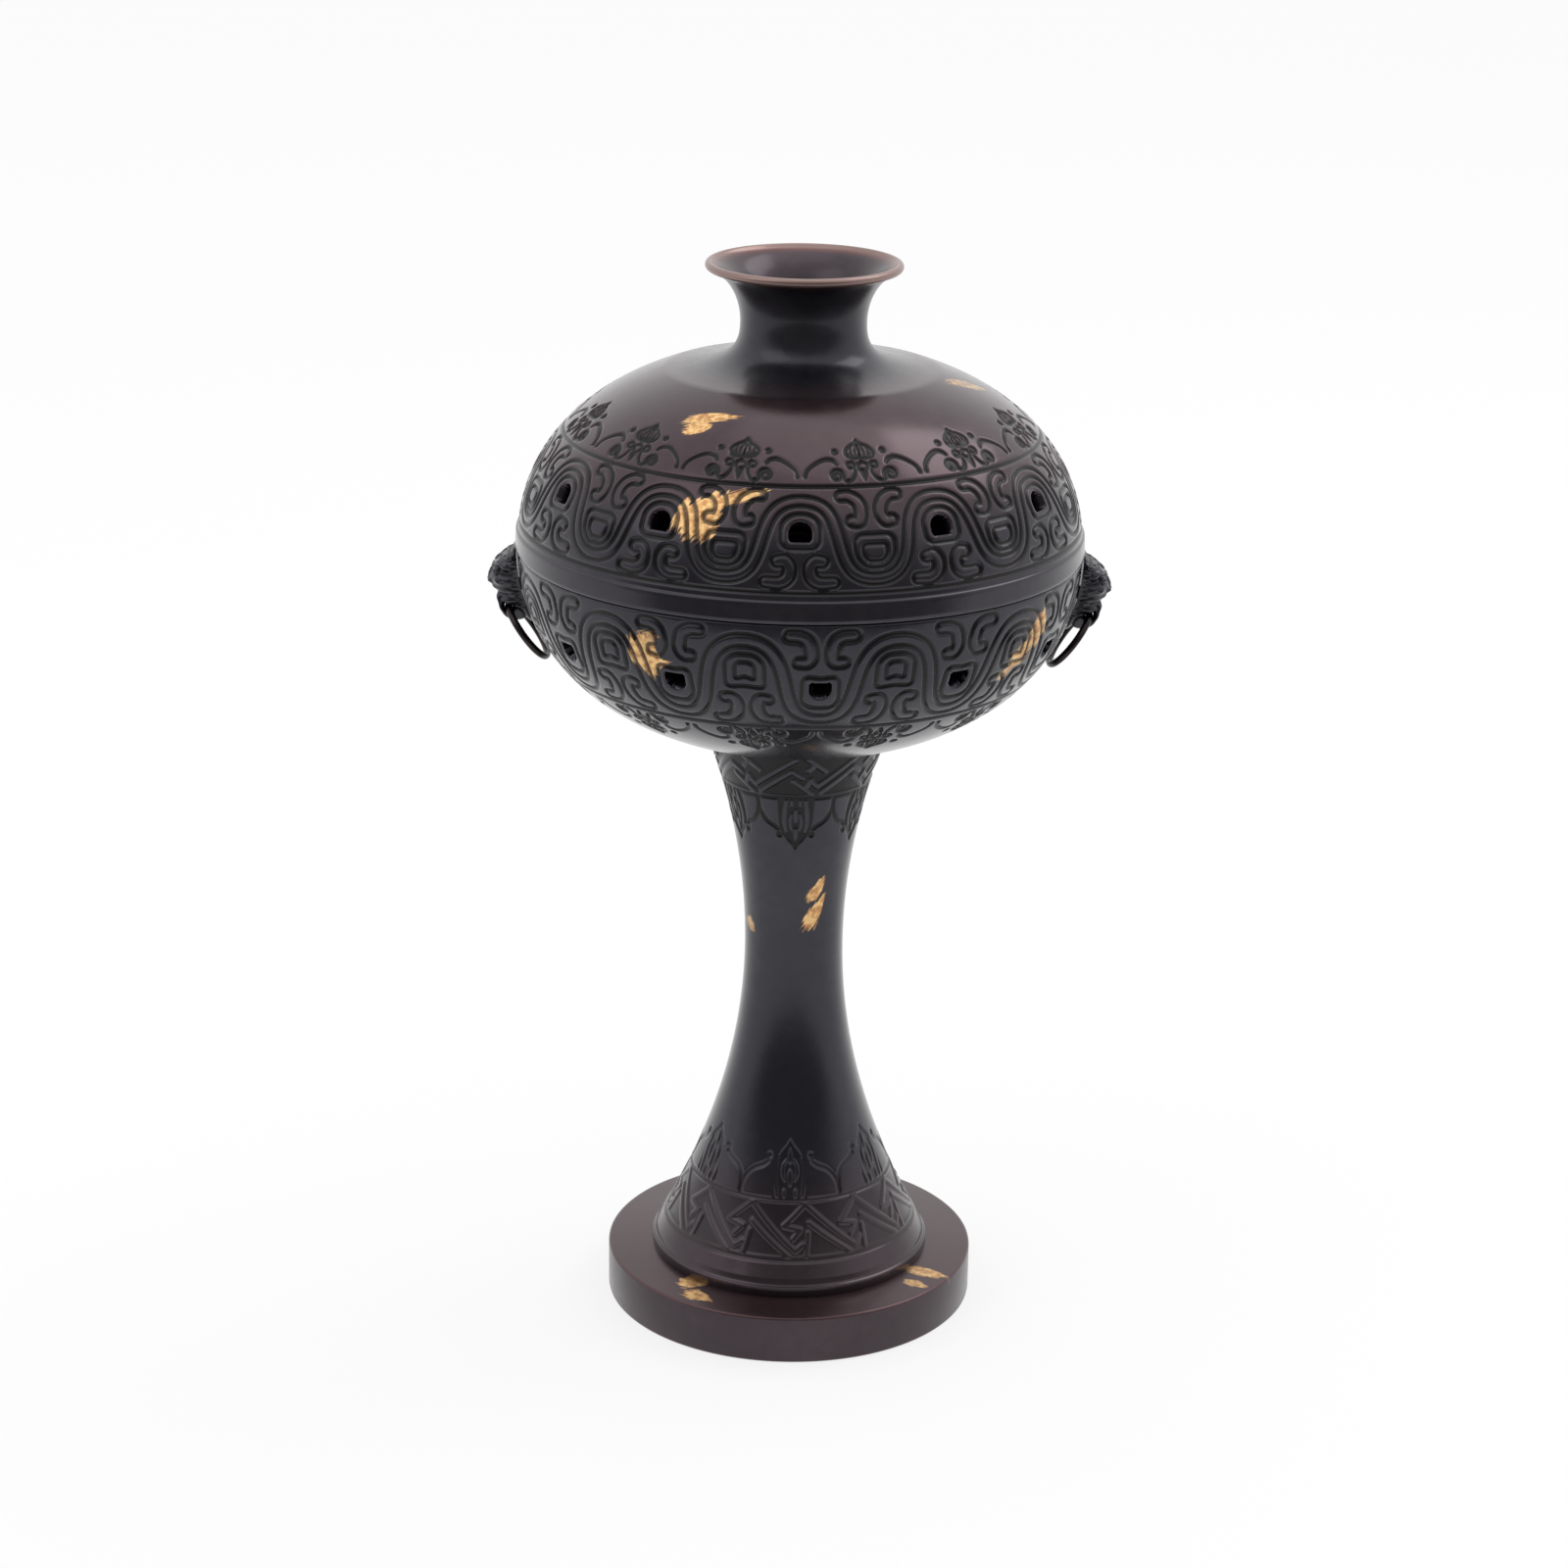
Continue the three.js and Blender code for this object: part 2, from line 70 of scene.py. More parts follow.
camera_data = bpy.data.cameras.new("camera")
camera_data.lens = CAMERA_LENS
camera_data.sensor_width = 36
camera_data.shift_x = CAMERA_SHIFT
camera = bpy.data.objects.new("camera", camera_data)
bpy.context.scene.collection.objects.link(camera)
camera.location = (
    0,
    -CAMERA_DISTANCE * math.cos(CAMERA_ELEVATION),
    CAMERA_AIM_HEIGHT + CAMERA_DISTANCE * math.sin(CAMERA_ELEVATION),
)
camera.rotation_euler = (math.pi / 2 - CAMERA_ELEVATION, 0, 0)
camera.rotation_euler.rotate_axis("Z", CAMERA_ROLL)
bpy.context.scene.camera = camera

# %% [markdown]
# Materials are graphs of nodes. A few small helpers keep their recipes short: one adds a node with
# its settings and inputs, and the others make the nodes that are used most.

# %% Node helpers
def add_node(tree, kind, inputs=None, **settings):
    """A shader node with its settings; each input is given a value or joined to another node's socket."""
    made = tree.nodes.new(f"ShaderNode{kind}")
    for setting, value in settings.items():
        setattr(made, setting, value)
    for label, value in (inputs or {}).items():
        if isinstance(value, bpy.types.NodeSocket):
            tree.links.new(value, made.inputs[label])
        else:
            made.inputs[label].default_value = value
    return made


def math_node(tree, operation, *values):
    """The result of one Math node; each value is a socket or a number."""
    return add_node(tree, "Math", dict(enumerate(values)), operation=operation).outputs[0]


def steps(tree, value, low, high, first=0.0, last=1.0):
    """Value carried from first at low to last at high, smoothly."""
    limits = {"Value": value, "From Min": low, "From Max": high, "To Min": first, "To Max": last}
    return add_node(tree, "MapRange", limits, interpolation_type="SMOOTHSTEP").outputs["Result"]


def either_ray(tree, *kinds):
    """1 for a ray of any of the given kinds of Light Path, else 0."""
    path = add_node(tree, "LightPath")
    socket = path.outputs[kinds[0]]
    for kind in kinds[1:]:
        socket = math_node(tree, "MAXIMUM", socket, path.outputs[kind])
    return socket


def new_material(name):
    """A material with its node tree and its Principled shader."""
    material = bpy.data.materials.new(name)
    material.use_nodes = True
    return material, material.node_tree, material.node_tree.nodes["Principled BSDF"]


# %% [markdown]
# The floor is a plain pale sheet, as a roll of white paper on a table: it runs far to the back and
# the sides and ends a little way in front, past the lower edge of the picture. So the upper parts of
# the bronze mirror the dim room past the paper's front edge, and the lower parts mirror the paper.
# Where the camera or a mirror-like surface sees it, a second, self-lit white is mixed in, and the
# plain surface keeps part of the say, so the shadow stays.

# %% Floor
FLOOR_HALF, FLOOR_FRONT = 3.0, 0.34
FLOOR_TONE, FLOOR_ROUGHNESS = 0.9, 0.8
SHADOW_SHARE = 0.22


def floor_material():
    """A pale matt surface, mixed with a white glow for rays that should see the white sweep."""
    material, tree, surface = new_material("pale_floor")
    surface.inputs["Base Color"].default_value = (FLOOR_TONE, FLOOR_TONE, FLOOR_TONE, 1)
    surface.inputs["Roughness"].default_value = FLOOR_ROUGHNESS
    glow = add_node(tree, "Emission", {"Strength": 1.0})
    sees = either_ray(tree, "Is Camera Ray", "Is Glossy Ray", "Is Transmission Ray")
    share = math_node(tree, "MULTIPLY", sees, 1 - SHADOW_SHARE)
    blend = add_node(tree, "MixShader", {0: share, 1: surface.outputs[0], 2: glow.outputs[0]})
    tree.links.new(blend.outputs[0], tree.nodes["Material Output"].inputs["Surface"])
    return material


floor_corners = [(-FLOOR_HALF, -FLOOR_FRONT, 0), (FLOOR_HALF, -FLOOR_FRONT, 0)]
floor_corners += [(FLOOR_HALF, FLOOR_HALF, 0), (-FLOOR_HALF, FLOOR_HALF, 0)]
floor_mesh = bpy.data.meshes.new("floor")
floor_mesh.from_pydata(floor_corners, [], [(0, 1, 2, 3)])
floor_mesh.materials.append(floor_material())
floor = bpy.data.objects.new("floor", floor_mesh)
bpy.context.scene.collection.objects.link(floor)
print("floor ends", FLOOR_FRONT, "m in front")

# %% World
SWEEP_STRENGTH, DIM_STRENGTH = 1.0, 0.22
SWEEP_DIRECTION = (0, 0.86, 0.51)
DIM_FROM, DIM_TO = -0.6, 0.0

world = bpy.data.worlds.new("studio")
world.use_nodes = True
bpy.context.scene.world = world
sky = world.node_tree
background = sky.nodes["Background"]
background.inputs["Color"].default_value = (1, 1, 1, 1)
direction = add_node(sky, "TexCoord").outputs["Generated"]
lean = add_node(sky, "VectorMath", {0: direction, 1: SWEEP_DIRECTION}, operation="DOT_PRODUCT")
brightness = steps(sky, lean.outputs["Value"], DIM_FROM, DIM_TO, DIM_STRENGTH, SWEEP_STRENGTH)
sees_sky = either_ray(sky, "Is Camera Ray", "Is Transmission Ray")
seen = add_node(sky, "Mix", {"Factor": sees_sky, "A": brightness, "B": SWEEP_STRENGTH}, data_type="FLOAT")
sky.links.new(seen.outputs["Result"], background.inputs["Strength"])

# %% Lamps
LAMPS = {
    "key": {"place": (-0.8, -0.5, 1.0), "size": 0.9, "power": 1.5},
    "fill": {"place": (0.65, 0.3, 1.0), "size": 0.6, "power": 2.5},
    "top": {"place": (0.05, 0.15, 1.3), "size": 0.8, "power": 1},
}
LAMP_AIM = (0, 0, 0.11)


def make_lamp(name, place, size, power):
    """A square soft lamp at a place, aimed at the middle of the object."""
    data = bpy.data.lights.new(name, "AREA")
    data.size = size
    data.energy = power
    lamp = bpy.data.objects.new(name, data)
    bpy.context.scene.collection.objects.link(lamp)
    lamp.location = place
    lamp.rotation_euler = (Vector(place) - Vector(LAMP_AIM)).to_track_quat("Z", "Y").to_euler()


for lamp_name, settings in LAMPS.items():
    make_lamp(lamp_name, **settings)

bpy.context.scene.view_settings.view_transform = "Standard"
print("lamps:", ", ".join(LAMPS))

# %% [markdown]
# ## Finishes
# The bronze is nearly black, with a satin gloss, brown where it has been rubbed, darkest in the
# engraved lines, and splashed with leaf-like flecks of gold. Mottling and splashes are used by more
# than one finish, so each is a node group with named inputs. Everything reads Object coordinates,
# so the patterns stay put on the piece.

# %% Node group helpers
NOISE_ROUGHNESS = 0.55
COLOR_A, COLOR_B, COLOR_RESULT = 6, 7, 2


def new_group(name, inputs, outputs):
    """An empty shader node group with named sockets: {name: (socket type, default)}."""
    group = bpy.data.node_groups.new(name, "ShaderNodeTree")
    for label, (kind, default) in inputs.items():
        socket = group.interface.new_socket(label, in_out="INPUT", socket_type=kind)
        socket.default_value = default
    for label, kind in outputs.items():
        group.interface.new_socket(label, in_out="OUTPUT", socket_type=kind)
    return group, group.nodes.new("NodeGroupInput").outputs, group.nodes.new("NodeGroupOutput").inputs


def noise(tree, scale, detail):
    """A noise texture on Object coordinates."""
    where = add_node(tree, "TexCoord").outputs["Object"]
    settings = {"Vector": where, "Scale": scale, "Detail": detail, "Roughness": NOISE_ROUGHNESS}
    return add_node(tree, "TexNoise", settings).outputs["Fac"]


def mixed(tree, share, first, second):
    """A colour mix; first and second are sockets or plain (red, green, blue)."""
    first, second = ((*tone, 1) if isinstance(tone, tuple) else tone for tone in (first, second))
    inputs = {"Factor": share, COLOR_A: first, COLOR_B: second}
    return add_node(tree, "Mix", inputs, data_type="RGBA").outputs[COLOR_RESULT]


# %% Patina group
BROAD_SCALE, FINE_SCALE, FINE_WEIGHT = 28, 420, 0.45
RUBBED_FROM, RUBBED_TO = 0.55, 1.0
ROUGHNESS_SPREAD = 0.14


def patina_group():
    """Mottled colour and roughness: a dark tone, broken by broad and fine noise into a rubbed tone."""
    group, given, result = new_group(
        "patina",
        {
            "Dark": ("NodeSocketColor", (0.01, 0.008, 0.01, 1)),
            "Rubbed": ("NodeSocketColor", (0.05, 0.03, 0.025, 1)),
            "Roughness": ("NodeSocketFloat", 0.35),
        },
        {"Color": "NodeSocketColor", "Roughness": "NodeSocketFloat"},
    )
    broad, fine = noise(group, BROAD_SCALE, 5), noise(group, FINE_SCALE, 3)
    mottle = math_node(group, "MULTIPLY_ADD", fine, FINE_WEIGHT, broad)
    share = steps(group, mottle, RUBBED_FROM, RUBBED_TO)
    rough = math_node(group, "MULTIPLY_ADD", fine, ROUGHNESS_SPREAD, given["Roughness"])
    group.links.new(mixed(group, share, given["Dark"], given["Rubbed"]), result["Color"])
    group.links.new(rough, result["Roughness"])
    return group


PATINA = patina_group()

# %% [markdown]
# A splash of gold is leaf pressed on by hand, so its edge is ragged and it runs out in streaks. Each
# one is an ellipsoid of influence in the object's space: a Mapping node carries the point into the
# splash's own frame, noise tears its edge, and a smooth step turns distance into a mask.

# %% Splash group
SPLASH_TAPER, SPLASH_NARROWEST = 0.4, 0.3
SPLASH_TEAR = 1.3
SPLASH_STREAKS = [((0.7, 0.3, 3.2), 1.0), ((2.2, 0.6, 4.4), 0.3)]
SPLASH_EDGE = (1.0, 0.82)
SPLASH_GRAIN, SPLASH_APART = 1.5, 700


def splash_group():
    """Mask of one stroke: inside a leaf of half sizes Size, blunt at one end, and torn along the stroke.

    The distance is the length of (along, in, across / (1 - taper * along)), and noise in streaks, long
    along the stroke and narrow across it, is added before the edge is cut.
    """
    group, given, result = new_group(
        "gold_splash",
        {
            "Location": ("NodeSocketVector", (0, 0, 0)),
            "Rotation": ("NodeSocketVector", (0, 0, 0)),
            "Size": ("NodeSocketVector", (0.004, 0.004, 0.004)),
        },
        {"Mask": "NodeSocketFloat"},
    )
    where = add_node(group, "TexCoord").outputs["Object"]
    frame_inputs = {"Vector": where, "Location": given["Location"], "Rotation": given["Rotation"]}
    frame_inputs["Scale"] = given["Size"]
    local = add_node(group, "Mapping", frame_inputs, vector_type="TEXTURE").outputs["Vector"]
    parts = add_node(group, "SeparateXYZ", {"Vector": local}).outputs
    taper = math_node(group, "MULTIPLY_ADD", parts["X"], -SPLASH_TAPER, 1.0)
    across = math_node(group, "DIVIDE", parts["Z"], math_node(group, "MAXIMUM", taper, SPLASH_NARROWEST))
    leaf = add_node(group, "CombineXYZ", {"X": parts["X"], "Y": parts["Y"], "Z": across})
    torn = add_node(group, "VectorMath", {0: leaf.outputs[0]}, operation="LENGTH").outputs["Value"]
    far = {0: given["Location"], "Scale": SPLASH_APART}
    apart = add_node(group, "VectorMath", far, operation="SCALE").outputs[0]
    for stretch, share in SPLASH_STREAKS:
        streak = add_node(group, "VectorMath", {0: local, 1: stretch, 2: apart}, operation="MULTIPLY_ADD")
        grain = add_node(group, "TexNoise", {"Vector": streak.outputs[0], "Scale": SPLASH_GRAIN, "Detail": 3})
        centred = math_node(group, "SUBTRACT", grain.outputs["Fac"], 0.5)
        torn = math_node(group, "MULTIPLY_ADD", centred, SPLASH_TEAR * share, torn)
    group.links.new(steps(group, torn, *SPLASH_EDGE), result["Mask"])
    return group


SPLASH = splash_group()

# %% [markdown]
# The strokes of gold were placed on the real burner. Each row says where a stroke lies
# (radius, azimuth from the front, height), how far the surface there leans up from facing sideways,
# how the stroke slants in the surface, its half length and half width, and how strong the gold is.
# Each casting has its own short list, so its material carries only the strokes that lie on it.

# %% Gold strokes
STROKES = {
    "lid": [
        (46.9, -20.6, 165.2, 33, 54, 5.4, 3.5, 1.0),
        (47.0, -25.4, 165.0, 33, 78, 3.2, 1.3, 1.0),
        (44.4, -12.8, 168.3, 39, 20, 4.8, 1.2, 0.85),
        (31.9, -29.5, 178.1, 63, 18, 5.2, 1.5, 1.0),
        (34.4, -31.2, 176.5, 61, 26, 2.9, 1.5, 1.0),
        (29.8, 84.0, 179.1, 66, -44, 5.6, 1.7, 0.6),
    ],
    "bowl": [
        (50.3, -31.8, 139.5, -14, -72, 4.6, 3.2, 0.78),
        (50.2, -28.6, 138.6, -16, 12, 2.6, 1.0, 0.9),
        (50.9, -30.4, 143.2, -8, 20, 2.6, 1.5, 0.45),
        (50.7, 56.3, 141.6, -10, 74, 4.0, 2.4, 0.85),
        (49.8, 52.4, 137.8, -17, 50, 3.6, 2.1, 0.8),
        (48.5, 48.8, 134.6, -24, 45, 2.5, 1.2, 0.65),
    ],
    "stem": [
        (10.0, 24.5, 84.8, -5, 58, 3.2, 1.1, 0.85),
        (9.6, 23.5, 79.8, -4, 62, 3.9, 1.45, 0.9),
        (9.3, -60.0, 75.9, 0, -50, 1.7, 1.3, 0.55),
    ],
    "foot_disc": [
        (27.4, -40.9, 9.2, 90, 27, 2.9, 2.4, 0.95),
        (31.3, -32.9, 9.2, 90, -4, 3.4, 1.9, 0.95),
        (30.5, 60.1, 9.2, 90, -87, 4.5, 1.8, 0.75),
        (31.4, 50.5, 9.2, 90, -86, 2.6, 1.3, 0.7),
    ],
}
STROKE_REACH = 4.0


def stroke_frame(radius, azimuth, height, lean, slant, length, width):
    """Place, turn and size of a stroke, as the splash group takes them.

    The frame's axes are the stroke's own direction, the inward normal, and their cross product.
    """
    a, e, s = (math.radians(angle) for angle in (azimuth, lean, slant))
    spot = np.array([radius * math.sin(a), -radius * math.cos(a), height]) * MM
    level = np.array([math.cos(a), math.sin(a), 0])
    inward = -np.array([math.sin(a) * math.cos(e), -math.cos(a) * math.cos(e), math.sin(e)])
    along = math.cos(s) * level + math.sin(s) * np.cross(level, inward)
    axes = Matrix(np.stack([along, inward, np.cross(along, inward)], axis=1).tolist())
    size = np.array([length, STROKE_REACH, width]) * MM
    return {"Location": tuple(spot), "Rotation": tuple(axes.to_euler()), "Size": tuple(size)}


print(sum(len(rows) for rows in STROKES.values()), "strokes of gold")


# %% Material helpers
BUMP_DISTANCE = 0.00004


def add_bump(tree, shader, height, strength):
    """Joins a height to the shader's Normal through a Bump node."""
    bump = add_node(tree, "Bump", {"Height": height, "Strength": strength, "Distance": BUMP_DISTANCE})
    tree.links.new(bump.outputs["Normal"], shader.inputs["Normal"])


def add_patina(tree, dark, rubbed, roughness):
    """Places the patina group with its own two tones and roughness, and gives its outputs."""
    values = {"Dark": (*dark, 1), "Rubbed": (*rubbed, 1), "Roughness": roughness}
    return add_node(tree, "Group", values, node_tree=PATINA).outputs


def painted(tree, name):
    """A value painted on the mesh as an attribute."""
    return add_node(tree, "Attribute", attribute_name=name).outputs["Fac"]


# %% [markdown]
# One recipe makes every bronze here. The patina comes first, then brown where "worn" is painted,
# then black where "engraved" is: in the engraved lines, and as painted shade in the hollows and under
# the brows of the beast masks. The strokes of gold lie over all of it. A thin wax is a clear coat,
# and a bump of broad dents and fine grain keeps the surface from looking moulded.

# %% Cast bronze
BRONZE_DARK = (0.024, 0.0243, 0.033)
BRONZE_RUBBED = (0.04, 0.0375, 0.046)
BRONZE_WORN = (0.25, 0.085, 0.075)
BRONZE_BARE = (0.34, 0.23, 0.205)
BARE_FROM, BARE_TO = 0.3, 0.9
BRONZE_IN_LINES_AND_SHADE = (0.003, 0.003, 0.004)
BRONZE_METALLIC = 0.8
BODY_ROUGHNESS, FOOT_ROUGHNESS = 0.15, 0.28
LINES_DULLER, NECK_DULLER = 0.25, 0.13
WAX_WEIGHT, WAX_ROUGHNESS = 0.35, 0.16
DENT_SCALE, DENT_WEIGHT = 90, 3.0
GRAIN_SCALE, GRAIN_STRENGTH = 1500, 0.35
GOLD_BRIGHT = (0.95, 0.62, 0.27)
GOLD_DEEP = (0.55, 0.27, 0.1)
GOLD_MOTTLE = 900
GOLD_ROUGHNESS = 0.42
GOLD_LOST_IN_LINES = 0.8


def gold_mask(tree, strokes, engraved):
    """The strongest of the strokes at a point, thinned where the surface is engraved."""
    gold = 0.0
    for *where, strength in strokes:
        mask = add_node(tree, "Group", stroke_frame(*where), node_tree=SPLASH).outputs["Mask"]
        gold = math_node(tree, "MAXIMUM", gold, math_node(tree, "MULTIPLY", mask, strength))
    open_ground = math_node(tree, "MULTIPLY_ADD", engraved, -GOLD_LOST_IN_LINES, 1.0)
    return math_node(tree, "MULTIPLY", gold, open_ground)


def bronze_material(name, strokes, roughness=BODY_ROUGHNESS):
    """Waxed dark patina under gold, with its colours led by the painted marks worn and engraved; on the
    masks, engraved holds painted shade.
    """
    material, tree, shader = new_material(name)
    shader.inputs["Coat Weight"].default_value = WAX_WEIGHT
    shader.inputs["Coat Roughness"].default_value = WAX_ROUGHNESS
    shader.inputs["Metallic"].default_value = BRONZE_METALLIC
    # On the beast masks the "engraved" mark is painted shade, made dark here like the lines.
    worn, engraved, dull = (painted(tree, mark) for mark in ("worn", "engraved", "dull"))
    patina = add_patina(tree, BRONZE_DARK, BRONZE_RUBBED, roughness)
    rubbed = mixed(tree, steps(tree, worn, BARE_FROM, BARE_TO), BRONZE_WORN, BRONZE_BARE)
    color = mixed(tree, engraved, mixed(tree, worn, patina["Color"], rubbed), BRONZE_IN_LINES_AND_SHADE)
    rough = math_node(tree, "MULTIPLY_ADD", engraved, LINES_DULLER, patina["Roughness"])
    rough = math_node(tree, "MULTIPLY_ADD", dull, NECK_DULLER, rough)
    dents, grain = noise(tree, DENT_SCALE, 2), noise(tree, GRAIN_SCALE, 4)
    height = math_node(tree, "MULTIPLY_ADD", dents, DENT_WEIGHT, grain)
    if strokes:
        gold = gold_mask(tree, strokes, engraved)
        bright = steps(tree, noise(tree, GOLD_MOTTLE, 3), 0.35, 0.65)
        leaf = mixed(tree, bright, GOLD_DEEP, GOLD_BRIGHT)
        color = mixed(tree, gold, color, leaf)
        metallic = math_node(tree, "MULTIPLY_ADD", gold, 1 - BRONZE_METALLIC, BRONZE_METALLIC)
        tree.links.new(metallic, shader.inputs["Metallic"])
        rough = math_node(tree, "MAXIMUM", rough, math_node(tree, "MULTIPLY", gold, GOLD_ROUGHNESS))
        height = math_node(tree, "ADD", height, gold)
    tree.links.new(color, shader.inputs["Base Color"])
    tree.links.new(rough, shader.inputs["Roughness"])
    add_bump(tree, shader, height, GRAIN_STRENGTH)
    return material


BRONZES = {node: bronze_material(f"{node}_bronze", STROKES[node]) for node in ("lid", "bowl", "stem")}
BRONZES["foot_disc"] = bronze_material("foot_bronze", STROKES["foot_disc"], FOOT_ROUGHNESS)
print("bronzes:", ", ".join(BRONZES))


# %% Ring bronze, cup brass and hardware steel
SOOT_LOW, SOOT_HIGH = 0.126, 0.134
SOOT = (0.012, 0.01, 0.009)


def plain_metal(name, dark, rubbed, roughness, grain_scale, grain_strength, sooty=False):
    """A mottled metal with a fine grain, blackened by smoke above SOOT_LOW to SOOT_HIGH if it is sooty."""
    material, tree, shader = new_material(name)
    patina = add_patina(tree, dark, rubbed, roughness)
    color = patina["Color"]
    if sooty:
        where = add_node(tree, "TexCoord").outputs["Object"]
        height = add_node(tree, "SeparateXYZ", {"Vector": where}).outputs["Z"]
        color = mixed(tree, steps(tree, height, SOOT_LOW, SOOT_HIGH), color, SOOT)
    tree.links.new(color, shader.inputs["Base Color"])
    tree.links.new(patina["Roughness"], shader.inputs["Roughness"])
    shader.inputs["Metallic"].default_value = 1.0
    add_bump(tree, shader, noise(tree, grain_scale, 4), grain_strength)
    return material


METALS = {
    "ring_bronze": ((0.014, 0.0125, 0.015), (0.05, 0.037, 0.036), 0.22, 1400, 0.3),
    "cup_brass": ((0.3, 0.18, 0.06), (0.5, 0.35, 0.15), 0.28, 1100, 0.25, True),
    "hardware_steel": ((0.36, 0.36, 0.37), (0.55, 0.55, 0.56), 0.22, 1800, 0.2),
}
FINISHES = {"cast_bronze": bronze_material("cast_bronze", [])}
FINISHES.update((name, plain_metal(name, *values)) for name, values in METALS.items())
for row in frame["record"]["subparts"]:
    slots = nodes[row["node"]].data.materials
    slots.clear()
    slots.append(FINISHES[row["material_slot"]])
print("finishes:", ", ".join(FINISHES))

# %% [markdown]
# ## Shapes as grids of points
# Nearly every piece here is a section carried round the upright axis. The section is a closed run of
# points, up the outside and down the inside, and each point makes a ring. All rings together are one
# grid, and the same small function turns any grid into faces that point outwards.


# %% Grid helpers
CREASE = math.radians(68)
PIECE_SIZES = {}


def ease(value, low, high):
    """0 at low, 1 at high, and 3 t^2 - 2 t^3 between them."""
    t = np.clip((value - low) / (high - low), 0, 1)
    return t * t * (3 - 2 * t)


def place(radius, azimuth, height):
    """Points at a radius, a height and an azimuth in degrees from the front (-Y) towards +X."""
    turn = np.radians(azimuth)
    return np.stack(np.broadcast_arrays(radius * np.sin(turn), -radius * np.cos(turn), height), axis=-1)


def grid_quads(rows, columns, close_rows=True, close_columns=True):
    """Corner numbers of the quads between neighbouring rows and columns of a grid of points."""
    i = np.arange(rows if close_rows else rows - 1)[:, None]
    j = np.arange(columns if close_columns else columns - 1)[None, :]
    up, on = (i + 1) % rows, (j + 1) % columns
    corners = (i * columns + j, i * columns + on, up * columns + on, up * columns + j)
    return np.stack(np.broadcast_arrays(*corners), axis=-1)


def capped_faces(rows, columns):
    """Faces of a tube of rings whose first and last ring are each closed by one flat face."""
    ring = np.arange(columns)[None, :]
    return [grid_quads(rows, columns, close_rows=False), ring[:, ::-1], ring + (rows - 1) * columns]


def make_piece(name, points, faces, body, finish, replaced, marks=None, weld=0.0):
    """A mesh object from points in mm and arrays of faces; marks are values painted on the points."""
    faces = [np.reshape(part, (-1, np.shape(part)[-1])) for part in faces]
    corners = np.concatenate([part.ravel() for part in faces])
    counts = np.concatenate([np.full(len(part), part.shape[1]) for part in faces])
    used, corners = np.unique(corners, return_inverse=True)
    mesh = bpy.data.meshes.new(name)
    mesh.vertices.add(len(used))
    mesh.vertices.foreach_set("co", (points.reshape(-1, 3)[used] * MM).astype(np.float32).ravel())
    mesh.loops.add(len(corners))
    mesh.loops.foreach_set("vertex_index", corners.reshape(-1).astype(np.int32))
    mesh.polygons.add(len(counts))
    mesh.polygons.foreach_set("loop_start", (np.cumsum(counts) - counts).astype(np.int32))
    mesh.update(calc_edges=True)
    for label, values in (marks or {}).items():
        layer = mesh.attributes.new(label, "FLOAT", "POINT")
        layer.data.foreach_set("value", values.reshape(-1)[used].astype(np.float32))
    if weld:
        shape = bmesh.new()
        shape.from_mesh(mesh)
        bmesh.ops.remove_doubles(shape, verts=shape.verts, dist=weld * MM)
        shape.to_mesh(mesh)
        shape.free()
    mesh.validate()
    mesh.polygons.foreach_set("use_smooth", np.ones(len(mesh.polygons), bool))
    mesh.set_sharp_from_angle(angle=CREASE)
    mesh.materials.append(BRONZES.get(replaced, FINISHES[finish]))
    piece = bpy.data.objects.new(name, mesh)
    bpy.context.scene.collection.objects.link(piece)
    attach(piece, body)
    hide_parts(replaced)
    mesh.calc_loop_triangles()
    PIECE_SIZES[name] = len(mesh.loop_triangles)
    print(f"{name}: {PIECE_SIZES[name]} triangles")


# %% Section helpers
CORNER_POINTS = 4


def bezier(start, pull_start, pull_end, end, count):
    """Points of a cubic curve from start to end, both ends included."""
    t = np.linspace(0, 1, count)[:, None]
    a, b, c, d = (np.asarray(p, float) for p in (start, pull_start, pull_end, end))
    return (1 - t) ** 3 * a + 3 * (1 - t) ** 2 * t * b + 3 * (1 - t) * t**2 * c + t**3 * d


def arc(center, radius, first, last, count):
    """Points of a circular arc, angles in degrees from outwards towards up."""
    angle = np.radians(np.linspace(first, last, count))
    return np.stack([center[0] + radius * np.cos(angle), center[1] + radius * np.sin(angle)], axis=1)


def eased_corners(points, reach):
    """A closed section whose corners are replaced by short quadratic curves that start reach away."""
    p = np.asarray(points, float)

    def toward(other):
        gap = other - p
        length = np.linalg.norm(gap, axis=1, keepdims=True)
        return (p + gap / length * np.minimum(reach, 0.45 * length))[:, None]

    t = np.linspace(0, 1, CORNER_POINTS)[None, :, None]
    a, b = toward(np.roll(p, 1, axis=0)), toward(np.roll(p, -1, axis=0))
    return ((1 - t) ** 2 * a + 2 * t * (1 - t) * p[:, None] + t**2 * b).reshape(-1, 2)


def full_round(columns):
    """Azimuths of a full round in even steps, as one row."""
    return np.arange(columns)[None, :] * 360 / columns


def rings(section, azimuth):
    """A section of (radius, height) rows carried round the axis, one ring of points for each row."""
    section = np.asarray(section, float).reshape(-1, 2)
    return place(section[:, :1], azimuth, section[:, 1:])


def turned(name, section, columns, body, finish, replaced, closed=True, **profiles):
    """A section carried round the axis; an open one ends in flat discs. Profiles are marks, row by row."""
    faces = [grid_quads(len(section), columns)] if closed else capped_faces(len(section), columns)
    marks = {mark: np.tile(np.reshape(row, (-1, 1)), columns) for mark, row in profiles.items()}
    make_piece(name, rings(section, full_round(columns)), faces, body, finish, replaced, marks)


# %% [markdown]
# ## The round body
# Bowl and lid share one curve, a superellipse a little flatter than a circle. The ornament is laid
# out on it by arc length, as a bronze founder lays a paper pattern on the wax.

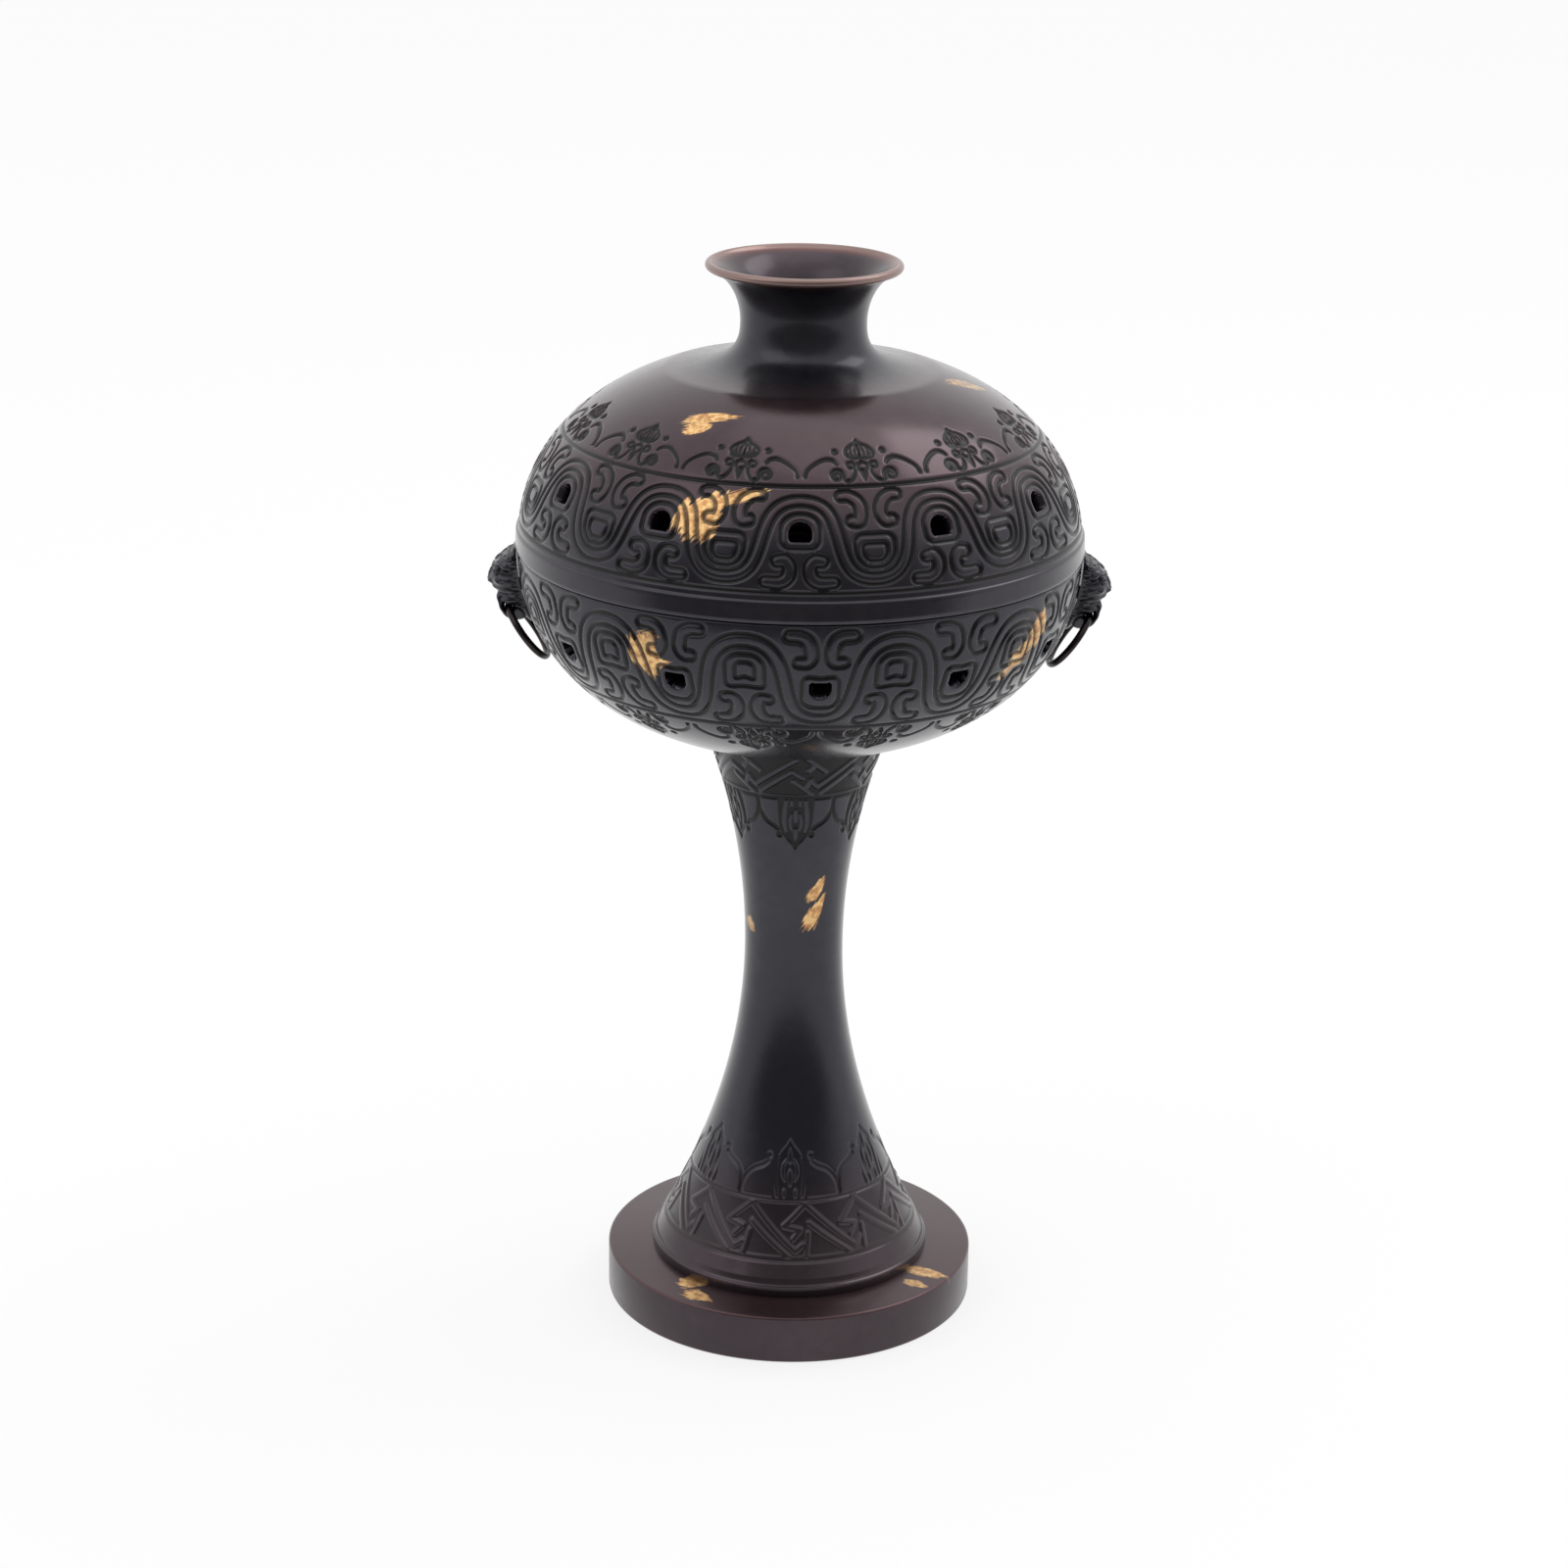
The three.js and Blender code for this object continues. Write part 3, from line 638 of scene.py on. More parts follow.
# %% Body curve
BELLY_RADIUS, BELLY_HEIGHT = 51.4, 148.5
LID_RISE, BOWL_DROP, BODY_POWER = 36.0, 37.0, 2.2
SEAM_HEIGHT = 148.0
LID_WALL, BOWL_WALL = 2.6, 3.0
STEM_TOP = 113.2


def body_radius(z, wall=0.0):
    """Belly radius times (1 - (height off the belly / rise) ^ power) ^ (1 / power)."""
    rise = np.where(z >= BELLY_HEIGHT, LID_RISE, BOWL_DROP) - wall
    share = np.clip(np.abs(z - BELLY_HEIGHT) / rise, 0, 1)
    return (BELLY_RADIUS - wall) * (1 - share**BODY_POWER) ** (1 / BODY_POWER)


ARC_HEIGHT = np.linspace(STEM_TOP - 1, BELLY_HEIGHT + LID_RISE - 1, 20000)
ARC_LENGTH = np.cumsum(np.hypot(np.diff(body_radius(ARC_HEIGHT)), np.diff(ARC_HEIGHT)))
ARC_LENGTH = np.concatenate([[0], ARC_LENGTH])


def along(z):
    """Arc length up the body's curve at a height."""
    return np.interp(z, ARC_HEIGHT, ARC_LENGTH)


def body_skin(s):
    """Radius, height and the two parts of the outward normal at an arc length."""
    z = np.interp(s, ARC_LENGTH, ARC_HEIGHT)
    nudge = 0.02
    lean_in = (body_radius(z - nudge) - body_radius(z + nudge)) / (2 * nudge)
    length = np.hypot(1, lean_in)
    return body_radius(z), z, 1 / length, lean_in / length


print("arc from seam to shoulder groove:", round(float(along(170.0) - along(SEAM_HEIGHT)), 2), "mm")

# %% [markdown]
# ## Ornament as signed distances
# An engraved line is where a distance is small. Each motif is a function that gives, for points on
# the unrolled surface, the distance to the edge of what is cut away: negative in a line or a sunken
# ground, positive on the surface that stands. Distances combine with min and max, so motifs can be
# overlaid, mirrored and repeated before a single vertex is moved.

# %% Distance helpers
LINE_HALF = 0.35
SHOULDER_SCALE = 0.78


def smooth_path(points, steps_each=6):
    """A Catmull-Rom path through rows of (degrees, height, half width)."""
    p = np.asarray(points, float)
    p = np.vstack([2 * p[0] - p[1], p, 2 * p[-1] - p[-2]])
    t = np.linspace(0, 1, steps_each, endpoint=False)[:, None]
    rows = []
    for a, b, c, d in zip(p[:-3], p[1:-2], p[2:-1], p[3:]):
        cubic = (2 * a - 5 * b + 4 * c - d) * t**2 + (3 * b - a - 3 * c + d) * t**3
        rows.append(0.5 * (2 * b + (c - a) * t + cubic))
    return np.vstack(rows + [p[-2][None]])


def ribbon(x, y, scale, path):
    """Distance to the nearest straight piece of a path, less the half width there; scale is mm per degree."""
    best = np.full(np.broadcast(x, y).shape, 1e3)
    for (ax, ay, aw), (bx, by, bw) in zip(path[:-1], path[1:]):
        ux, uy = (bx - ax) * scale, by - ay
        vx, vy = (x - ax) * scale, y - ay
        share = np.clip((vx * ux + vy * uy) / (ux * ux + uy * uy + 1e-12), 0, 1)
        away = np.hypot(vx - share * ux, vy - share * uy) - (aw + (bw - aw) * share)
        best = np.minimum(best, away)
    return best


def round_box(x, y, scale, half, low, high, low_round, high_round, low_dip=0.0, high_dip=0.0):
    """Distance to a box with round corners, whose lower and upper sides may dip inwards at the middle."""
    v = y - (low + high) / 2
    across = x * scale
    dip = np.exp(-((across / (half * 0.45)) ** 2))
    v = v + np.where(v > 0, high_dip, -low_dip) * dip
    corner = np.where(v > 0, high_round, low_round)
    qx = np.abs(across) - half + corner
    qy = np.abs(v) - (high - low) / 2 + corner
    outside = np.hypot(np.maximum(qx, 0), np.maximum(qy, 0))
    return np.minimum(np.maximum(qx, qy), 0) + outside - corner


def wave_path(crest, trough, crest_pull, trough_pull, half_width, crest_at=0.0):
    """Half a wave between crest and trough, 15 degrees apart: one cubic curve, mirrored beyond both ends."""
    t = np.linspace(0, 1, 40)
    x = 3 * (1 - t) ** 2 * t * crest_pull + 3 * (1 - t) * t**2 * (15 - trough_pull) + 15 * t**3
    y = crest + (trough - crest) * (3 * t**2 - 2 * t**3)
    before, after = slice(8, 0, -1), slice(-2, -10, -1)
    x = np.concatenate([-x[before], x, 30 - x[after]])
    y = np.concatenate([y[before], y, y[after]])
    return np.stack([crest_at - x if crest_at else x, y, np.full(x.shape, half_width)], 1)


def dot(x, y, scale, x0, y0, radius):
    """Distance to a round spot."""
    return np.hypot((x - x0) * scale, y - y0) - radius


def spiral_path(x0, y0, first, last, start, turns, widths):
    """A spiral that shrinks evenly from one radius to another as it turns backwards.

    SHOULDER_SCALE is about the length of one degree at the shoulder, so the spiral comes out round.
    """
    t = np.linspace(0, 1, 26)
    angle = np.radians(start) - 2 * np.pi * turns * t
    radius = first + (last - first) * t
    x = x0 + radius * np.cos(angle) / SHOULDER_SCALE
    return np.stack([x, y0 + radius * np.sin(angle), widths[0] + (widths[1] - widths[0]) * t], 1)


# %% [markdown]
# ## The wave bands
# Each half of the body has a wave that rises over one vent or scroll and dips under the next. A
# rounded frame sits in each bend, and a fat C-shaped scroll fills each corner. Twelve repeats of 30
# degrees, each its own mirror image, so one function of 0 to 15 degrees draws the whole band.

# %% Wave band motifs
LID_BORDER, LID_GROOVE = 153.5, 170.0
BOWL_GROOVE = 127.4
LID_VENT, BOWL_VENT = 163.4, 135.5
VENT_HALF, VENT_REACH = 1.98, 1.82
VENT_FLAT, VENT_ARCH = 0.75, 1.95
LID_UPPER_SCROLL = [
    (6.3, 168.6, 0.9), (4.7, 168.6, 0.95), (3.0, 167.9, 1.0), (2.2, 166.8, 1.02),
    (2.2, 165.7, 1.02), (2.9, 164.8, 0.98), (4.3, 164.85, 0.92),
]
LID_LOWER_SCROLL = [
    (4.4, 158.75, 0.95), (3.0, 158.85, 1.0), (2.1, 158.0, 1.02), (2.0, 156.9, 1.05),
    (2.5, 155.9, 1.02), (3.9, 155.25, 0.98), (6.6, 155.3, 0.9),
]
BOWL_UPPER_SCROLL = [
    (6.1, 146.1, 0.95), (4.2, 146.0, 1.0), (2.6, 145.2, 1.02), (2.05, 143.7, 1.05),
    (2.05, 142.4, 1.05), (2.8, 141.3, 1.0), (4.3, 141.25, 0.92),
]
BOWL_LOWER_SCROLL = [
    (4.5, 133.6, 0.98), (3.1, 133.7, 1.02), (2.2, 132.8, 1.06), (2.1, 131.4, 1.1),
    (2.6, 130.1, 1.08), (3.9, 129.2, 1.04), (6.2, 129.0, 0.98),
]


def scroll(points, about=0.0, turn=1):
    """A scroll's path from rows of (degrees, height, half width), about a centre line or mirrored in it."""
    return smooth_path([(about + turn * x, float(along(z)), w) for x, z, w in points])


def lid_wave(x, y, scale):
    """The lid's band: x is 0 at a vent, which lies under a crest, and 15 between two vents."""
    between = 15 - x
    shapes = [
        ribbon(x, y, scale, wave_path(along(167.9), along(155.75), 11.8, 11.2, 0.9)),
        round_box(x, y, scale, 3.35, along(160.75), along(166.0), 1.5, 3.0),
        round_box(between, y, scale, 3.45, along(157.65), along(162.85), 2.9, 1.5),
        round_box(between, y, scale, 2.1, along(158.7), along(161.4), 1.5, 0.8),
        ribbon(x, y, scale, scroll(LID_UPPER_SCROLL, 15, -1)),
        ribbon(x, y, scale, scroll(LID_LOWER_SCROLL)),
    ]
    borders = [np.abs(y - along(LID_BORDER)), np.abs(y - along(LID_GROOVE))]
    return np.min([np.abs(shape) for shape in shapes] + [b + 0 * x for b in borders], axis=0) - LINE_HALF


def bowl_wave(x, y, scale):
    """The bowl's band: x is 0 at a vent, which lies over a trough, and 15 under a crest."""
    between = 15 - x
    shapes = [
        ribbon(x, y, scale, wave_path(along(144.95), along(129.4), 12.2, 11.0, 1.08, crest_at=15.0)),
        round_box(between, y, scale, 3.45, along(136.0), along(142.45), 1.0, 2.6, low_dip=0.25),
        round_box(between, y, scale, 1.75, along(137.75), along(140.95), 0.4, 1.3, low_dip=0.4),
        round_box(x, y, scale, 3.2, along(132.0), along(138.5), 2.5, 1.3, high_dip=0.3),
        ribbon(x, y, scale, scroll(BOWL_UPPER_SCROLL)),
        ribbon(x, y, scale, scroll(BOWL_LOWER_SCROLL, 15, -1)),
    ]
    border = np.abs(y - along(BOWL_GROOVE)) + 0 * x
    return np.min([np.abs(shape) for shape in shapes] + [border], axis=0) - LINE_HALF


# %% [markdown]
# The shoulder carries a lighter row: a little lotus head between two curling tendrils, about ten
# millimetres tall. The same row hangs upside down under the bowl's band.

# %% Lotus row motif
HOOK = [
    (6.3, 4.58, 0.3), (7.2, 5.38, 0.38), (9.0, 5.62, 0.37), (11.2, 4.89, 0.34),
    (13.2, 3.64, 0.3), (13.9, 2.73, 0.28), (14.1, 1.91, 0.36),
]
TAIL = [(5.0, 1.41, 0.3), (4.3, 1.05, 0.36), (3.2, 1.26, 0.34), (2.3, 2.28, 0.3), (2.0, 3.33, 0.24)]
PETAL = [(0, 2.75, 0.7), (0, 1.84, 0.42), (0, 1.1, 0.15)]
HEAD_EDGE = [
    (0, 10.0, 0.2), (0.9, 9.1, 0.26), (2.3, 8.5, 0.27), (3.4, 7.7, 0.27), (3.75, 6.9, 0.25), (3.2, 6.1, 0.25),
]
HEAD_BASE = [(0, 5.8, 0.26), (1.8, 5.75, 0.26), (3.2, 6.1, 0.25)]
HEAD_PETALS = [
    [(0, 6.0, 0.2), (0, 7.2, 0.16), (0, 9.4, 0.14)],
    [(0.8, 6.0, 0.16), (1.25, 7.1, 0.18), (0.5, 8.9, 0.14)],
    [(1.5, 6.0, 0.16), (2.3, 6.9, 0.18), (2.2, 8.2, 0.14)],
    [(2.3, 6.1, 0.14), (3.1, 6.8, 0.16)],
]


def lotus_row(x, h, scale):
    """x is 0 at a lotus head and 15 where two tendrils meet; h is the arc length from the groove."""
    cuts = [
        ribbon(x, h, scale, smooth_path(HOOK)),
        dot(x, h, scale, 6.4, 7.31, 0.62),
        ribbon(x, h, scale, spiral_path(6.6, 2.21, 1.35, 0.3, 200, 1.6, (0.36, 0.28))),
        ribbon(x, h, scale, smooth_path(TAIL)),
        np.abs(dot(x, h, scale, 0, 4.02, 0.85)) - 0.3,
        np.abs(dot(x, h, scale, 2.9, 4.34, 0.62)) - 0.28,
        ribbon(x, h, scale, smooth_path(PETAL)),
    ]
    cuts += [ribbon(x, h, scale, smooth_path(line)) for line in [HEAD_EDGE, HEAD_BASE] + HEAD_PETALS]
    return np.min(cuts, axis=0)


def lotus_band(x, h, scale):
    """The lotus row beyond a groove, with the groove; x is 0 at a vent, h the arc length from the groove."""
    return np.minimum(lotus_row(15 - x, h, scale), np.abs(h) - LINE_HALF)


def lid_flowers(x, y, scale):
    """Lotus heads that stand above the lid's shoulder groove."""
    return lotus_band(x, y - along(LID_GROOVE), scale)


def bowl_flowers(x, y, scale):
    """The same row turned over below the bowl's groove."""
    return lotus_band(x, along(BOWL_GROOVE) - y, scale)


# %% [markdown]
# ## From distances to bronze
# The cut distance becomes a depth with a rounded bottom, and each point of the grid moves in along
# the surface's normal by that depth. So the lines are real grooves that hold shadow from any side,
# and the same distance is painted on the points as "engraved", for the dark that gathers there.

# %% Relief
GROOVE_DEPTH, GROOVE_SIDE = 0.34, 0.2
TONE_OUTSIDE, TONE_INSIDE = 0.2, -0.06


def cut_depth(distance):
    """Full depth well inside a cut, none well outside, and smooth between."""
    return GROOVE_DEPTH * ease(distance, GROOVE_SIDE, -GROOVE_SIDE)


def engraved_tone(distance):
    """1 inside a cut and 0 outside, with a narrow soft border."""
    return ease(distance, TONE_OUTSIDE, TONE_INSIDE)


# %% [markdown]
# The vents are real holes. Points of the grid near a vent's outline are moved onto it, the faces
# inside are left out, and a short wall joins the outer rim of each hole to the inner one. The inside
# of the shell repeats the outside's rows only where the vents are, and has few rows elsewhere.

# %% Vents
SNAP = 0.17
VENT_MARGIN = 1.2
VENT_EASE, VENT_EASE_REACH = 0.22, 0.45
ROWS_ABOVE, ROWS_BELOW = 6, 7


def vent_distance(x, s, scale, middle, lower, upper):
    """Distance to a vent's outline, flat at one end and arched at the other."""
    return round_box(x, s, scale, VENT_HALF, middle - VENT_REACH, middle + VENT_REACH, lower, upper)


def snapped(x, s, scale, vent):
    """Points near the outline moved onto it along the distance's slope, the distances, and which moved."""
    nudge = 0.01

    def distance_at(across, up):
        return vent_distance(x + across / scale, s + up, scale, *vent)

    distance = distance_at(0, 0)
    slope_x = (distance_at(nudge, 0) - distance_at(-nudge, 0)) / (2 * nudge)
    slope_s = (distance_at(0, nudge) - distance_at(0, -nudge)) / (2 * nudge)
    near = np.abs(distance) < SNAP
    moved = np.where(near, distance, 0)
    return x - moved * slope_x / scale, s - moved * slope_s, distance, near


def inside_rows(zone, rows):
    """The outside rows that the inside repeats, from the top down: all at the vents, few elsewhere."""
    if not len(zone):
        return np.linspace(rows - 1, 0, ROWS_ABOVE).round().astype(int)
    above = np.linspace(rows - 1, zone[-1] + 1, ROWS_ABOVE).round().astype(int)
    below = np.linspace(zone[0] - 1, 0, ROWS_BELOW).round().astype(int)
    return np.concatenate([above, np.arange(zone[-1], zone[0] - 1, -1), below])


def hole_walls(open_face, first, partner, on, count):
    """Quads that join the outside to the inside wherever an open face has a kept neighbour."""
    none = np.zeros_like(open_face[:1])
    right, left = np.roll(open_face, -1, axis=1), np.roll(open_face, 1, axis=1)
    below, above = np.vstack([none, open_face[:-1]]), np.vstack([open_face[1:], none])
    sides = [
        (right, (0, 1), (1, 1)), (left, (1, 0), (0, 0)), (below, (0, 0), (0, 1)), (above, (1, 1), (1, 0)),
    ]
    walls = []
    for neighbour, *ends in sides:
        i, j = np.nonzero(open_face & ~neighbour)
        corners = [(i + up, on[j] if across else j) for up, across in ends]
        outside = [(first + row) * count + column for row, column in corners]
        inside = [partner[row] * count + column for row, column in corners]
        walls.append(np.stack(outside + inside[::-1], axis=1))
    return walls


def pierced_faces(quads, hole, near, inside, first, inside_start):
    """The walls of the vents and the quads outside them; hole and near are given for the outside rows."""
    rows, count = hole.shape
    at = np.arange(quads.shape[1])
    on = (at + 1) % count

    def at_corners(values):
        low, high = values[:-1], values[1:]
        return np.stack([low[:, at], low[:, on], high[:, on], high[:, at]])

    open_face = (at_corners(hole).min(axis=0) < -SNAP) | at_corners(near).all(axis=0)
    partner = np.full(rows, -1)
    partner[inside] = inside_start + np.arange(len(inside))
    keep = np.ones(quads.shape[:2], bool)
    keep[first : first + rows - 1] = ~open_face
    i, j = np.nonzero(open_face)
    keep[partner[i + 1], j] = False
    return hole_walls(open_face, first, partner, on, count) + [quads[keep]]


# %% Pierced and engraved shell
ROUND_COLUMNS = 1344
ROW_STEP = 0.235
SHELL_WELD = 0.012
WORN_FROM, WORN_TO = 0.35, 1


def engraved_shell(
    name, low, high, cut, wall, phase, before, after, body, node, vent=None, start=0.0, share=1, worn=(0, 0)
):
    """A shell of the round body between two arc lengths, engraved outside and pierced where vent says.

    The closed section is: the points before, the engraved rows upwards, the points after, and the
    inside rows downwards. share is the part of the full round that this piece covers, and worn the
    wear at its lower and upper edge.
    """
    columns = ROUND_COLUMNS // share
    closed = share == 1
    azimuth = start + np.arange(columns if closed else columns + 1) * 360 / ROUND_COLUMNS
    rows = int(round((high - low) / ROW_STEP)) + 1
    s = np.linspace(low, high, rows)[:, None]
    scale = np.radians(body_skin(s)[0])
    offset = (azimuth - phase + 15) % 30 - 15
    center = azimuth - offset
    folded, where = np.unique(np.round(np.abs(offset), 5), return_inverse=True)
    distance = cut(folded[None, :], s, scale)[:, where.reshape(-1)]
    offset, arc_at = (np.broadcast_to(part, distance.shape) for part in (offset, s))
    hole, near = np.full(distance.shape, 10.0), np.zeros(distance.shape, bool)
    if vent:
        offset, arc_at, hole, near = snapped(offset, arc_at, scale, vent)
    r, z, out, up = body_skin(arc_at)
    eased = VENT_EASE * np.clip(1 - np.abs(hole) / VENT_EASE_REACH, 0, 1) ** 2
    depth = cut_depth(distance) + eased
    outer = place(r - depth * out, center + offset, z - depth * up)
    inner = place(r - wall * out, center + offset, z - wall * up)
    inside = inside_rows(np.flatnonzero((hole < VENT_MARGIN).any(axis=1)), rows)
    lead, tail = rings(before, azimuth), rings(after, azimuth)
    points = np.concatenate([lead, outer, tail, inner[inside]])

    faces = [grid_quads(len(points), len(azimuth), close_columns=closed)]
    if vent:
        faces = pierced_faces(faces[0], hole, near, inside, len(lead), len(lead) + rows + len(tail))
    if not closed:
        ends = np.arange(len(points))[None, :] * len(azimuth)
        faces += [ends, ends[:, ::-1] + columns]
    band = slice(len(lead), len(lead) + rows)
    tones, wear = np.zeros(points.shape[:2]), np.full(points.shape[:2], float(worn[0]))
    tones[band] = engraved_tone(distance)
    wear[band] += (worn[1] - worn[0]) * ease(np.arange(rows)[:, None] / rows, WORN_FROM, WORN_TO)
    make_piece(name, points, faces, body, "cast_bronze", node, {"engraved": tones, "worn": wear}, SHELL_WELD)


# %% Lid bands
BAND_TOP, BAND_PROUD, LEDGE_ROWS = 152.0, 0.4, 6
LIP_LOW, LIP_TOP, LIP_OUTER, LIP_INNER = 144.0, 151.0, 48.05, 46.35
LOTUS_REACH = 11.2
SHOULDER_WORN = 0.13
LID_PHASE, BOWL_PHASE = 0.0, 4.5
LID_SPLIT, BOWL_SPLIT = 105.0, 109.5

seam_edge = float(body_radius(SEAM_HEIGHT)) + BAND_PROUD
band_edge = float(body_radius(BAND_TOP)) + BAND_PROUD
ledge = [(seam_edge - 0.75, SEAM_HEIGHT), (seam_edge - 0.22, SEAM_HEIGHT + 0.12)]
ledge += [
    (seam_edge + (band_edge - seam_edge) * k / LEDGE_ROWS, SEAM_HEIGHT + 0.45 + 3.15 * k / LEDGE_ROWS)
    for k in range(LEDGE_ROWS)
]
ledge += [(band_edge, BAND_TOP - 0.35), (band_edge - 0.06, BAND_TOP - 0.12), (band_edge - 0.2, BAND_TOP)]
lip_corners = [(LIP_INNER, LIP_TOP), (LIP_INNER, LIP_LOW), (LIP_OUTER, LIP_LOW), (LIP_OUTER, SEAM_HEIGHT)]
lower_corners = eased_corners(lip_corners, 0.25)[CORNER_POINTS : 3 * CORNER_POINTS]
lip = [lip_corners[0], *lower_corners, lip_corners[-1]]
lid_vent = (float(along(LID_VENT)), VENT_FLAT, VENT_ARCH)
lid_low, lid_groove = float(along(BAND_TOP + 0.1)), float(along(LID_GROOVE))
lid_split_arc = lid_groove + LOTUS_REACH

for side_name, split in (("front", LID_SPLIT - 180), ("back", LID_SPLIT)):
    engraved_shell(
        f"lid_wave_band_{side_name}", lid_low, lid_groove, lid_wave, LID_WALL, LID_PHASE,
        lip + ledge, [], "lid", "lid", vent=lid_vent, start=split, share=2,
        worn=(0.02, SHOULDER_WORN),
    )
engraved_shell(
    "lid_lotus_band", lid_groove, lid_split_arc, lid_flowers, LID_WALL, LID_PHASE, [], [], "lid", "lid",
    worn=(SHOULDER_WORN, SHOULDER_WORN),
)

# %% Bowl bands
bowl_vent = (float(along(BOWL_VENT)), VENT_ARCH, VENT_FLAT)
bowl_groove, bowl_high = float(along(BOWL_GROOVE)), float(along(SEAM_HEIGHT - 0.5))
bowl_split_arc = bowl_groove - LOTUS_REACH
rim_radius = float(body_radius(SEAM_HEIGHT))
bowl_rim = [(rim_radius - 0.1, SEAM_HEIGHT - 0.2), (rim_radius - 0.4, SEAM_HEIGHT)]
bowl_rim += [(BELLY_RADIUS - BOWL_WALL + 0.25, SEAM_HEIGHT), (BELLY_RADIUS - BOWL_WALL, SEAM_HEIGHT - 0.25)]

for side_name, split in (("front", BOWL_SPLIT - 180), ("back", BOWL_SPLIT)):
    engraved_shell(
        f"bowl_wave_band_{side_name}", bowl_groove, bowl_high, bowl_wave, BOWL_WALL, BOWL_PHASE,
        [], bowl_rim, "base", "bowl", vent=bowl_vent, start=split, share=2,
    )
engraved_shell(
    "bowl_lotus_band", bowl_split_arc, bowl_groove, bowl_flowers, BOWL_WALL, BOWL_PHASE,
    [], [], "base", "bowl",
)

# %% [markdown]
# The plain parts are turned sections. The lid's crown runs up from the lotus row, through the hollow
# of the shoulder into the neck, over the rolled rim and down the inside. The bowl's base closes the
# bottom with a thick floor, bored for the tie rod.

# %% Lid crown
RIM_BEAD = (16.94, 199.62)
BEAD_RADIUS = 0.78
RIM_WORN_REACH, INSIDE_WORN = 1.6, 0.08
NECK_RADIUS, NECK_BORE, NECK_MIDDLE = 11.35, 9.35, 189.5
CROWN_RADIUS, DOME_RADIUS = 25.0, 24.0


def body_stretch(first, last, count, wall=0.0):
    """Rows of (radius, height) up or down the body between two arc lengths, moved in along the normal."""
    r, z, out, up = body_skin(np.linspace(first, last, count))
    return np.stack([r - wall * out, z - wall * up], axis=1)


heights = np.linspace(170, 184, 4000)
crown_height = float(np.interp(-CROWN_RADIUS, -body_radius(heights), heights))
dome_height = float(np.interp(-DOME_RADIUS, -body_radius(heights), heights)) - LID_WALL
crown_start, dome_start = (CROWN_RADIUS, crown_height), (DOME_RADIUS, dome_height)
neck_outside, neck_inside = (NECK_RADIUS, NECK_MIDDLE), (NECK_BORE, NECK_MIDDLE)
crown_outside = [
    body_stretch(lid_split_arc, float(along(crown_height)), 26),
    bezier(crown_start, (14.5, crown_height + 1.3), (NECK_RADIUS, 183.5), neck_outside, 26)[1:],
    bezier(neck_outside, (NECK_RADIUS, 193.4), (13.24, 197.59), (16.7, 198.8), 20)[1:],
]
bead = arc(RIM_BEAD, BEAD_RADIUS, -96, 158, 16)
inside_end = body_stretch(lid_split_arc, lid_split_arc, 1, LID_WALL)[0]
crown_inside = [
    bezier((16.1, 199.85), (12.64, 198.61), (NECK_BORE, 194.4), neck_inside, 20)[1:],
    bezier(neck_inside, (NECK_BORE, 182.5), (12.45, dome_height + 1.3), dome_start, 20)[1:],
    bezier(dome_start, (26.0, dome_height - 0.3), (28.5, dome_height - 0.9), inside_end, 8)[1:],
]
crown = np.vstack(crown_outside + [bead] + crown_inside)
from_bead = np.hypot(crown[:, 0] - RIM_BEAD[0], crown[:, 1] - RIM_BEAD[1])
rim_wear = np.exp(-((from_bead / RIM_WORN_REACH) ** 2))
on_inside = np.arange(len(crown)) > len(crown) - 48
inside_wear = INSIDE_WORN * ease(crown[:, 1], 188, 196) * on_inside
shoulder_wear = SHOULDER_WORN * ease(crown[:, 0], 16, 24) * (crown[:, 1] > crown_height - 6)
crown_wear = np.max([rim_wear, inside_wear, shoulder_wear], axis=0)
neck_dull = ease(crown[:, 1], 180.5, 184)
turned("lid_crown", crown, 384, "lid", "cast_bronze", "lid", worn=crown_wear, dull=neck_dull)

# %% Bowl base
ROD_HOLE = 3.2
BOWL_FLOOR_TOP = 117.0
skin_height, skin_up = body_skin(ARC_LENGTH)[1], body_skin(ARC_LENGTH)[3]
floor_end = float(np.interp(BOWL_FLOOR_TOP, skin_height - BOWL_WALL * skin_up, ARC_LENGTH))
base_section = np.vstack([
    [(ROD_HOLE, STEM_TOP), (17.6, STEM_TOP)],
    body_stretch(float(along(STEM_TOP + 0.15)), bowl_split_arc, 30),
    body_stretch(bowl_split_arc, floor_end, 18, BOWL_WALL),
    [(ROD_HOLE, BOWL_FLOOR_TOP)],
])
turned("bowl_base", base_section, 384, "base", "cast_bronze", "bowl")

# %% [markdown]
# ## The stem
# The stem narrows to a waist and spreads again, its radius a parabola on each side of the waist. A
# band of slanting key-fret runs round its top and its foot, standing on a sunken ground, and a row of
# pointed pendants hangs from each band towards the waist.

# %% Stem curve
WAIST_HEIGHT, WAIST_RADIUS = 71.0, 9.25
SWEEP_LOW, SWEEP_LOW_RADIUS = 12.4, 25.7
SWEEP_HIGH, SWEEP_HIGH_RADIUS = 113.2, 17.1
STEM_WALL = 2.2


def stem_radius(z):
    """Waist radius plus a share of the widening that grows with the square of the distance from the waist."""
    upper = z > WAIST_HEIGHT
    end = np.where(upper, SWEEP_HIGH, SWEEP_LOW)
    end_radius = np.where(upper, SWEEP_HIGH_RADIUS, SWEEP_LOW_RADIUS)
    return WAIST_RADIUS + (end_radius - WAIST_RADIUS) * ((z - WAIST_HEIGHT) / (end - WAIST_HEIGHT)) ** 2


